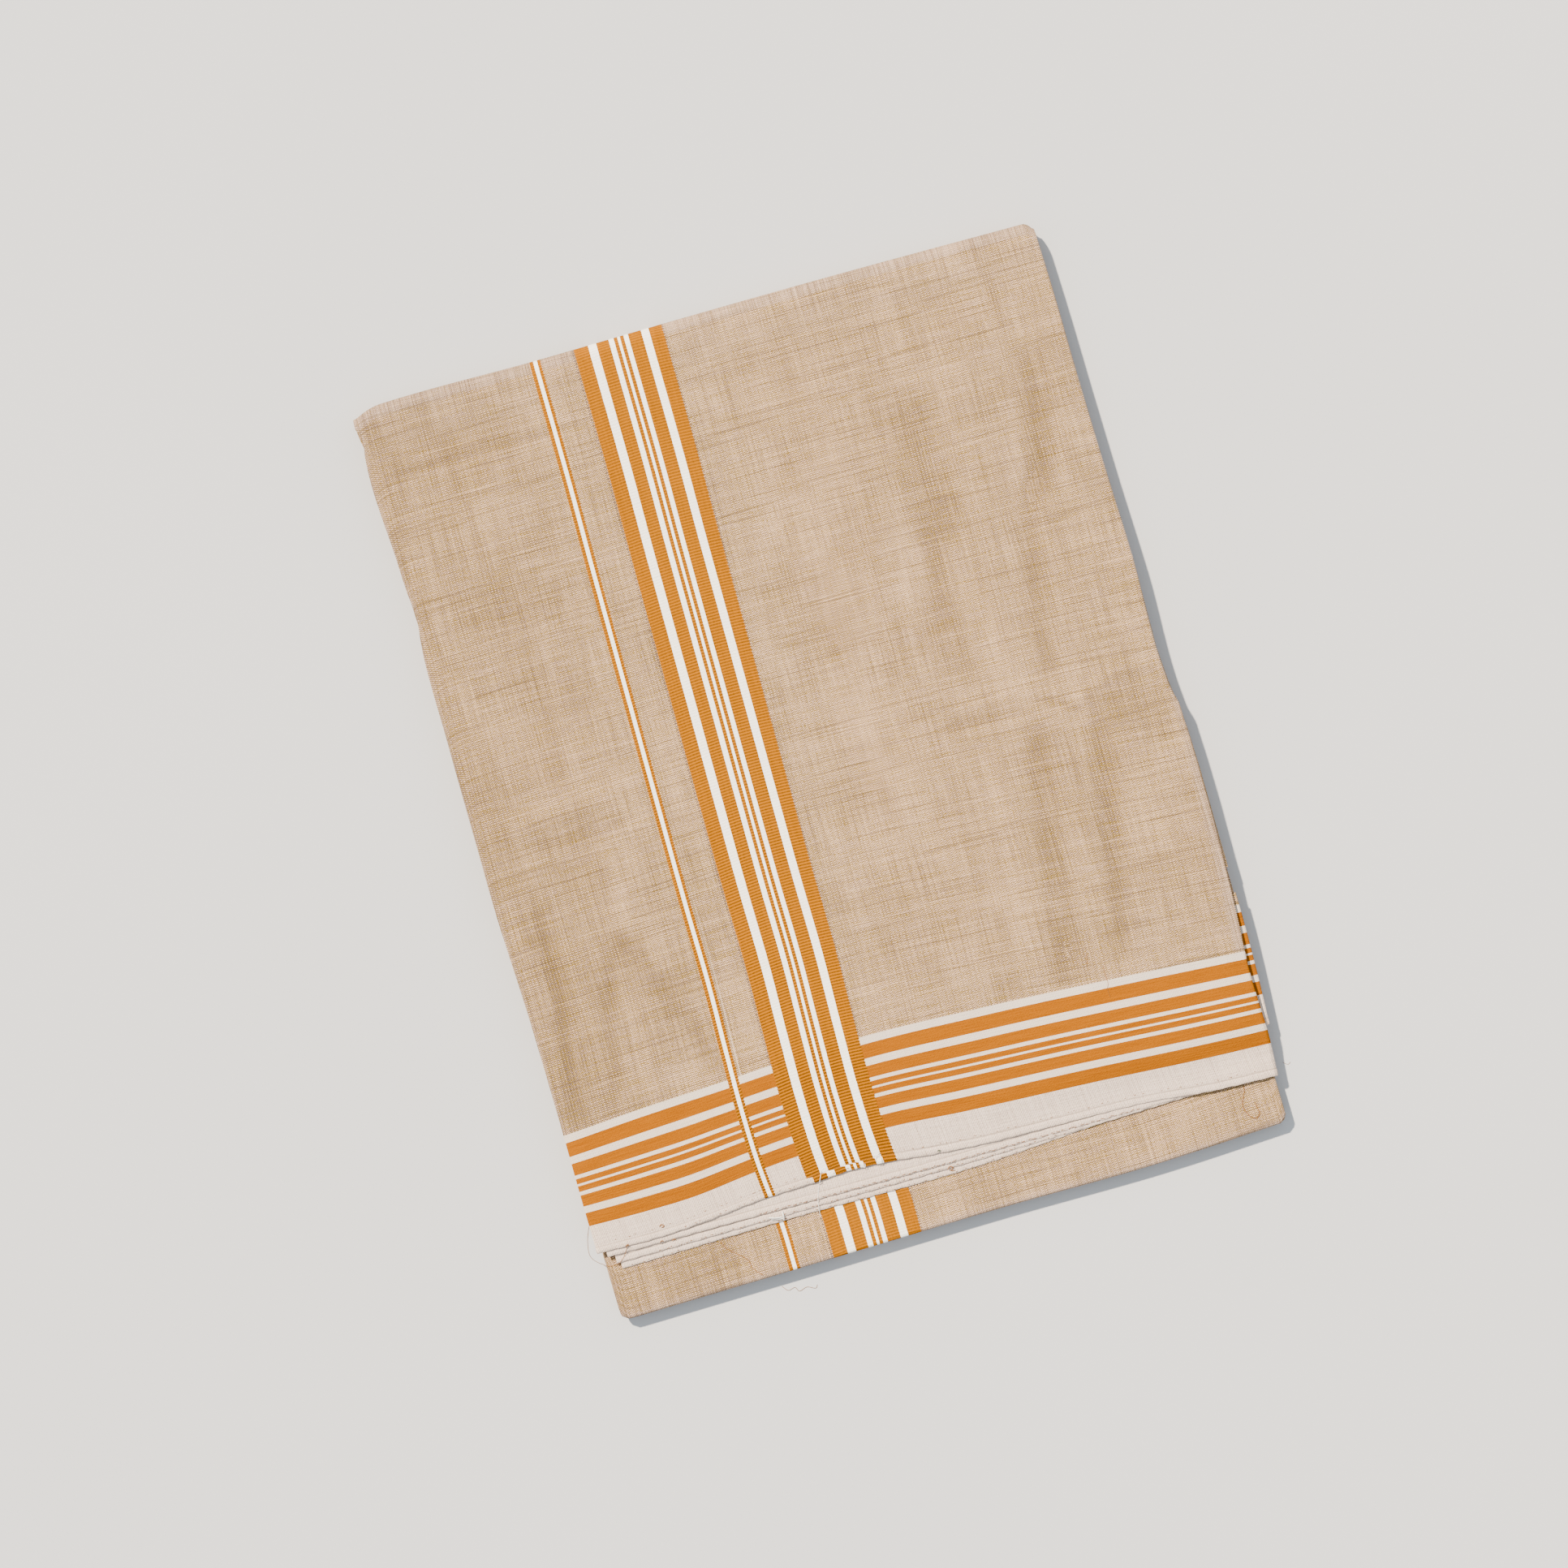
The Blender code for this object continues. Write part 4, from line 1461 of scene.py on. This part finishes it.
    def surface(self, tree: Tree) -> dict[str, object]:
        """Colours the ground, stripes, bars and hem, and gives them a fine relief.

        Args:
            tree: The material's tree.

        Returns:
            The shader's inputs.
        """
        cloth = self.weave(tree)
        parts, weighed, layered = cloth.parts, cloth.weighed, cloth.layered

        # The white stripes are straight-edged, and the ochre ones toothed by the ribs.
        # In the turned edge of the hem the border's stripes are sewn a little aside.
        toothed = weighed(0.0, width=1.0, aside=1.0, ribs=0.16 * MM, speckle=0.35 * MM)
        straight = weighed(0.0, width=1.0, aside=1.0, speckle=0.15 * MM)
        ochre_stripes = cloth.bands(toothed, BORDER_STRIPES, 150.0)[0]
        white_stripes = cloth.bands(straight, BORDER_STRIPES, 150.0)[1]
        ochre_bars, white_bars = cloth.bands(weighed(0.0, hem=1.0, speckle=0.12 * MM), END_BARS, 60.0)

        # The ground has painted shade in its creases and painted light where a fold turns, and has
        # a few slack warp ends beside the narrow stripe that show as a pale line. Dark gaps show
        # between the ribs, just outside the border.
        tone = weighed(0.225, dots=0.56, rows=0.16, wefts=0.46, warps=0.42, bunches=0.18, patches=0.34,
                       tracks=0.15, speckle=0.78, crowded=-0.17, edge=1.0)
        hue = weighed(0.5, speckle=3.2, wefts=1.5)
        # The turns of the folds get painted light in a pale lilac grey.
        painted_fold_light_colour = layered(self.painted_fold_light_dark, (weighed(0.5, uprights=0.6, warps=2.0), self.painted_fold_light_pale))
        ground = layered(
            layered(self.ground_tan, (hue, self.ground_mauve)),
            (tone, self.ground_light),
            (parts["worn"], painted_fold_light_colour),
            (parts["thick"], self.slub),
            (parts["thin"], self.ground_light),
            (parts["slack"], self.white_weft),
            (parts["left_gaps"], self.ground_mauve),
            (parts["right_gaps"], self.ground_mauve),
        )

        # The ribs mix in painted shade for their grooves.
        rib_share = weighed(0.66, firm_ribs=0.5, speckle=0.5, warps=0.4, deeper=-0.6)
        weft_share = weighed(0.64, uprights=0.28, wefts=0.3, speckle=0.5, warps=0.45)
        ochre_share = weighed(0.62, uprights=0.08, wefts=0.6, speckle=0.5)
        white_share = weighed(0.8, ribs=0.25, speckle=0.6)
        white_weft = layered(self.white_weft_shade, (weft_share, self.white_weft))
        # The hem is sewn down along its upper edge, with a dotted line of sunk stitches.
        cloth_colour = layered(
            ground,
            (ochre_bars, layered(self.ochre_weft_shade, (ochre_share, self.ochre_weft))),
            (white_bars, layered(white_weft, (parts["packed"], self.white_bar))),
            (ochre_stripes, layered(self.ochre_groove_painted_shade, (rib_share, self.ochre_warp))),
            (white_stripes, layered(self.white_groove_painted_shade, (white_share, self.white_warp))),
            (parts["stitches"], self.slub),
        )

        cloth.work_out((
            ("raised_ribs", "MULTIPLY", "ribs", ochre_stripes),
            ("raised_uprights", "MULTIPLY", "uprights", white_bars),
        ))
        relief = weighed(0.0, raised_ribs=0.5, dots=0.2, wefts=1.2, speckle=1.0, raised_uprights=0.35)
        bump = add_node(tree, "ShaderNodeBump", {"Strength": 0.7, "Distance": 0.16 * MM, "Height": relief})
        return {"Base Color": cloth_colour, "Roughness": 0.9, "IOR": 1.5, "Specular IOR Level": 0.01,
                "Normal": bump.outputs[0]}


@dataclass(frozen=True)
class SpunThread(Finish):
    """Two-ply spun cotton sewing thread: soft and matt, with a twist that just shows."""

    colour: str
    shade: str
    twist_pitch: float = 0.7

    def surface(self, tree: Tree) -> dict[str, object]:
        """Gives the shader's inputs, with a fine twist along the thread."""
        twist, colour = self.mottled(tree, 1.0 / (self.twist_pitch * MM), 1.0, self.shade, self.colour)
        bump = add_node(tree, "ShaderNodeBump", {"Strength": 0.4, "Distance": 0.05 * MM, "Height": twist})
        return {"Base Color": colour, "Roughness": 0.8, "IOR": 1.5, "Normal": bump.outputs[0]}


@dataclass(frozen=True)
class PaintedBoard(Finish):
    """A smooth painted board, plain and matt, for the cloth to lie on."""

    name: str = "painted_board_pale"
    colour: str = "#c4c4c6"
    shade: str = "#bfbfc1"

    def surface(self, tree: Tree) -> dict[str, object]:
        """Gives the shader's inputs, with a faint clouding in the paint."""
        colour = self.mottled(tree, 3.0, 2.0, self.shade, self.colour)[1]
        return {"Base Color": colour, "Roughness": 0.9, "Specular IOR Level": 0.2}


# ---------------------------------------------------------------- sewing and loose threads


class Strand(NamedTuple):
    """A stitch, loose end or loop of thread, laid over whatever cloth is below it."""

    radius: float
    line: Rows
    rise: float = 0.0
    step: float = 0.45
    sides: int = 6
    blunt_end: float = 0.35

    def rings(self, surface: BVHTree) -> Array:
        """Lays the strand out as rings of points.

        Args:
            surface: The cloth and the ground below it.

        Returns:
            Rings of points, in millimetres.
        """
        corners = np.array(self.line, float)
        steps = np.arange(len(corners), dtype=float)
        count = max(6, int(np.linalg.norm(np.diff(corners, axis=0), axis=1).sum() / self.step))
        places = np.linspace(0.0, steps[-1], count)
        line = np.stack([Curve(tuple(zip(steps, corners[:, axis]))).at(places) for axis in (0, 1)], -1)
        down, heights = Vector((0.0, 0.0, -1.0)), np.zeros(count)
        for number, (across, place) in enumerate(line):
            hit = surface.ray_cast(Vector((across * MM, place * MM, 0.1)), down)[0]
            heights[number] = hit.z / MM if hit else 0.0
        # A thread spans the hollows below it, and keeps clear of what stands up.
        padded = np.pad(heights, 2, mode="edge")
        held = np.max([padded[start : start + count] for start in range(5)], axis=0)
        padded = np.pad(held, 1, mode="edge")
        held = np.maximum((padded[:-2] + padded[1:-1] + padded[2:]) / 3.0, heights)
        height = held + self.radius * 0.8 + self.rise * np.sin(np.linspace(0.0, math.pi, count))
        centre = np.concatenate([line, height[:, None]], axis=1)
        along = np.gradient(centre, axis=0)
        along /= np.linalg.norm(along, axis=1)[:, None] + 1e-9
        side = np.cross(along, (0.0, 0.0, 1.0))
        side /= np.linalg.norm(side, axis=1)[:, None] + 1e-9
        upward = np.cross(side, along)
        from_end = np.minimum(np.arange(count), np.arange(count)[::-1])
        thin = self.radius * np.clip(from_end * 0.7 + self.blunt_end, 0.0, 1.0)
        turns = np.linspace(0.0, 2.0 * math.pi, self.sides + 1)[:-1, None]
        ring = np.cos(turns) * side[:, None] + np.sin(turns) * upward[:, None]
        return centre[:, None] + ring * thin[:, None, None]


class StitchRow(NamedTuple):
    """A row of small hand stitches over the turned edge of a hem."""

    hem: Curve
    above: float
    start: float
    stop: float
    pitch: float
    length: float
    lean: float

    def strands(self) -> list[Strand]:
        """Gives the stitches, none quite like its neighbour."""
        found = []
        for number in range(int((self.stop - self.start) / self.pitch)):
            x = self.start + self.pitch * (number + 0.3 * math.sin(2.3 * number))
            y = float(self.hem.at(x)) + self.above + 0.25 * math.sin(4.1 * number)
            half = self.length * (0.5 + 0.2 * math.sin(1.7 * number))
            lean = self.lean * math.sin(2.9 * number + self.above)
            found.append(Strand(0.11, ((x - half, y - lean), (x, y), (x + half, y + lean))))
        return found


@dataclass
class Threads:
    """All the threads of one yarn, as one object."""

    name: str
    finish: SpunThread
    strands: list[Strand]

    def build(self, surface: BVHTree) -> None:
        """Makes the object, with its finish.

        Args:
            surface: The cloth and the ground below the threads.
        """
        verts, faces = [], []
        for strand in self.strands:
            rings = strand.rings(surface)
            count, sides = rings.shape[:2]
            starts = range(len(verts), len(verts) + count * sides, sides)
            verts += (rings.reshape(-1, 3) * MM).tolist()
            for at in starts[:-1]:
                pairs = [(at + k, at + (k + 1) % sides) for k in range(sides)]
                faces += [(first, second, second + sides, first + sides) for first, second in pairs]
            faces.append(tuple(reversed(range(starts[0], starts[0] + sides))))
            faces.append(tuple(range(starts[-1], starts[-1] + sides)))
        mesh = bpy.data.meshes.new(self.name)
        mesh.from_pydata(verts, [], faces)
        mesh.validate()
        mesh.shade_smooth()
        mesh.materials.append(self.finish.material())
        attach(linked(self.name, mesh), ROOT)
        LOG.info("%s: %d strands", self.name, len(self.strands))


LOOSE_OCHRE = (
    Strand(0.14, ((-105.2, -191.2), (-102.8, -195.7), (-98, -200.1), (-95.1, -203.2), (-94, -207.5),
                  (-90.3, -211.8))),
    Strand(0.12, ((-84, -219.2), (-81.6, -221.9), (-78.4, -221.4), (-76.8, -223.6), (-73.1, -222.7),
                  (-69.5, -224.3), (-68.2, -222.9))),
    Strand(0.15, ((141.8, -188.5), (141.1, -192.2), (139, -196.9), (139.9, -201.7), (142.5, -204.6),
                  (145.2, -203.2), (144.7, -198.1))),
    Strand(0.11, ((-160.5, -169), (-162.9, -175.3), (-163.7, -182), (-160.8, -186.2), (-156.7, -188.3),
                  (-152.5, -188.7), (-148.8, -186.3), (-145.8, -181.9), (-145.4, -180.8))),
    Strand(0.12, ((89.5, -111.9), (89.2, -114.2), (88.6, -117))),
    Strand(0.1, ((95.4, -119), (95.2, -122.4), (95.3, -127.3), (94.4, -130), (94.6, -133.9))),
    Strand(0.09, ((162, -184.2), (164.1, -185.8), (165.6, -185.1))),
    Strand(0.22, ((-129.4, -177.3), (-128.3, -176.6), (-127.2, -177.5), (-128.6, -178))),
    Strand(0.22, ((-131, -184.5), (-130.2, -183.7), (-129.3, -184.4))),
    Strand(0.2, ((-146.6, -181.8), (-145.4, -181.1), (-144.9, -182))),
    Strand(0.2, ((-125.8, -185.2), (-124.6, -184.5), (-123.9, -185.3))),
    Strand(0.18, ((2.6, -188.6), (4.2, -187.4), (5.4, -188.5), (3.8, -189.3), (5.9, -189.9))),
)

# A picot loop or two, a loose end, and a tuft of three short ends.
LOOSE_WHITE = (
    Strand(0.12, ((-33.9, -175.6), (-33.4, -176.9), (-32.6, -176.8), (-32.4, -175.4)), 0.2),
    Strand(0.15, ((-52.1, -172.9), (-57, -184.5), (-58.4, -193.6))),
    Strand(0.15, ((-27.4, -175.4), (-26.2, -173.9), (-24.7, -175), (-25.1, -176.9), (-26.8, -177.2)), 0.3),
    Strand(0.42, ((-80.9, -187.2), (-77.9, -188.1), (-74.6, -188.7)), 0.2),
    Strand(0.34, ((-80.2, -188.3), (-77.6, -188.9), (-74.4, -189.3)), 0.2),
    Strand(0.36, ((-74.1, -186), (-74.3, -188.1), (-74.6, -190.5)), 0.2),
)

KNOT = Strand(0.2, ((0.5, -179.3), (1.2, -178.7), (1.9, -179.2), (1.0, -179.7)))


# ---------------------------------------------------------------- studio


@dataclass(frozen=True)
class Studio:
    """A pale board under one firm key light from the upper left, with a soft fill."""

    frame_width: float = 707.1
    distance: float = 3000.0
    focus_height: float = 13.7
    centre: tuple[float, float] = (-20.3, -0.81)
    turn: float = -16.0
    key_elevation: float = 48.0
    key_towards: tuple[float, float] = (-0.485, 0.875)
    key_strength: float = 13.0
    key_colour: tuple[float, float, float] = (1.0, 0.88, 0.72)
    fill_strength: float = 1.1
    fill_colour: tuple[float, float, float, float] = (0.86, 0.94, 1.0, 1.0)
    sensor: float = 36.0

    def build(self) -> None:
        """Makes the floor, the lights and the camera."""
        bpy.ops.mesh.primitive_plane_add(size=6.0)
        floor = bpy.context.object
        floor.name = FLOOR
        floor.data.materials.append(PaintedBoard().material())

        elevation = math.radians(self.key_elevation)
        away = Vector(self.key_towards).normalized() * math.cos(elevation)
        lamp = bpy.data.lights.new("key_light", "SUN")
        lamp.energy = self.key_strength
        lamp.angle = math.radians(2.5)
        lamp.color = self.key_colour
        key = Vector((away.x, away.y, math.sin(elevation)))
        linked("key_light", lamp).rotation_euler = key.to_track_quat("Z", "Y").to_euler()

        world = bpy.data.worlds.new("soft_fill")
        world.use_nodes = True
        world.node_tree.nodes.clear()
        inputs = {"Color": self.fill_colour, "Strength": self.fill_strength}
        fill = add_node(world.node_tree, "ShaderNodeBackground", inputs)
        add_node(world.node_tree, "ShaderNodeOutputWorld", {0: fill.outputs[0]})
        bpy.context.scene.world = world

        lens = bpy.data.cameras.new("camera")
        lens.sensor_width = self.sensor
        lens.lens = self.sensor * (self.distance - self.focus_height) / self.frame_width
        lens.dof.use_dof = False
        lens.clip_end = 20.0
        camera = linked("camera", lens)
        camera.location = (self.centre[0] * MM, self.centre[1] * MM, self.distance * MM)
        camera.rotation_euler = (0.0, 0.0, math.radians(self.turn))
        bpy.context.scene.camera = camera


# ---------------------------------------------------------------- the whole object


def surface_of(pieces: list[bpy.types.Object]) -> BVHTree:
    """Gives one surface of all the pieces and the ground, to lay threads on.

    Args:
        pieces: The pieces, in metres.

    Returns:
        The surface.
    """
    verts = [(-1.0, -1.0, 0.0), (1.0, -1.0, 0.0), (1.0, 1.0, 0.0), (-1.0, 1.0, 0.0)]
    faces = [(0, 1, 2, 3)]
    for piece in pieces:
        start = len(verts)
        verts += [vertex.co[:] for vertex in piece.data.vertices]
        faces += [tuple(start + corner for corner in face.vertices) for face in piece.data.polygons]
    return BVHTree.FromPolygons(verts, faces)


@dataclass
class FoldedDhoti:
    """The folded cloth: its visible stretches, its hidden layers and its sewing."""

    bundle: Bundle = Bundle()
    hems: dict[int, Curve] = field(default_factory=lambda: {
        1: Bundle.face_hem,
        2: Curve(((-156, -184.3), (-90, -185), (0, -186.1), (157, -186.6))),
        3: Curve(((-153, -188.3), (-60, -188.4), (40, -188.2), (157, -186))),
        4: Curve(((-151, -191.3), (-72, -190.5), (18, -190.9), (83, -187.4), (157, -186.8))),
    })
    second_hem: Curve = Curve(((-157, -160.5), (0, -162), (162, -165.6)))

    def stretches(self) -> tuple[Stretch, ...]:
        """Gives the stretches from the ground up."""
        bundle, hems, across = self.bundle, self.hems, spread(221)
        return (
            FootFold(bundle, "under_stretch", (319.0, 470.0), OUTER_FOOT, upper_stop=-182.0,
                     from_head=True, rows=(100, 10)),
            HiddenPlies(replace(bundle, swells=()), "hidden_layers", (1276.0, 2960.0)),
            FootFold(bundle, "closed_fold", (319.0, 150.0)),
            EndLayer(bundle, "second_end", (319.0, 58.0), self.second_hem,
                     Layout(fourth=spread(81), first=(0.0,)), ply=2, hem_scale=0.4, pucker_start=5.2),
            EndLayer(bundle, "end_layer_4", (310.0, 87.0), hems[4], Layout(fourth=across),
                     left_corner=-150.6, pucker_start=3.7, sag=0.3),
            EndLayer(bundle, "end_layer_3", (311.0, 84.0), hems[3], Layout(third=across),
                     left_corner=-152.4, pucker_start=2.6, sag=0.72),
            EndLayer(bundle, "end_layer_2", (314.0, 81.0), hems[2], Layout(second=across, third=(0.0,)),
                     left_corner=-155.6, sag=1.14),
            FaceStretch(bundle, "face_stretch", (319.0, 405.0)),
        )

    def build(self) -> None:
        """Builds everything: the stretches from the ground up, then the threads."""
        cotton, hems, pieces = HandloomCotton().material(), self.hems, []
        for stretch in self.stretches():
            pieces.append(stretch.build(cotton, pieces[-1].name if pieces else FLOOR))
        surface = surface_of(pieces)
        rows = (
            StitchRow(hems[1], 4.4, -150.0, 156.0, 5.4, 0.8, 0.1),
            StitchRow(hems[1], 1.2, -118.0, -22.0, 4.1, 0.8, 0.3),
            StitchRow(hems[2], 0.6, -84.0, 96.0, 1.7, 1.2, 0.12),
            StitchRow(hems[3], 0.7, -132.0, 62.0, 3.1, 0.9, 0.12),
            StitchRow(hems[4], 0.7, -146.0, 40.0, 4.6, 0.8, 0.2),
        )
        ochre = SpunThread("ochre_sewing_thread", "#96601c", "#5e3810")
        white = SpunThread("white_sewing_thread", "#f2eee8", "#cfc7bd")
        green = SpunThread("green_thread_end", "#5d6a4c", "#3c4632")
        stitches = [strand for row in rows for strand in row.strands()]
        Threads("visual_ochre_threads", ochre, [*stitches, *LOOSE_OCHRE]).build(surface)
        Threads("visual_white_threads", white, list(LOOSE_WHITE)).build(surface)
        Threads("visual_green_knot", green, [KNOT]).build(surface)


def main() -> None:
    """Builds the folded cloth and the studio."""
    logging.basicConfig(level=logging.INFO, format="%(message)s")
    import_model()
    FoldedDhoti().build()
    Studio().build()
    bpy.context.view_layer.update()


if __name__ == "__main__":
    main()
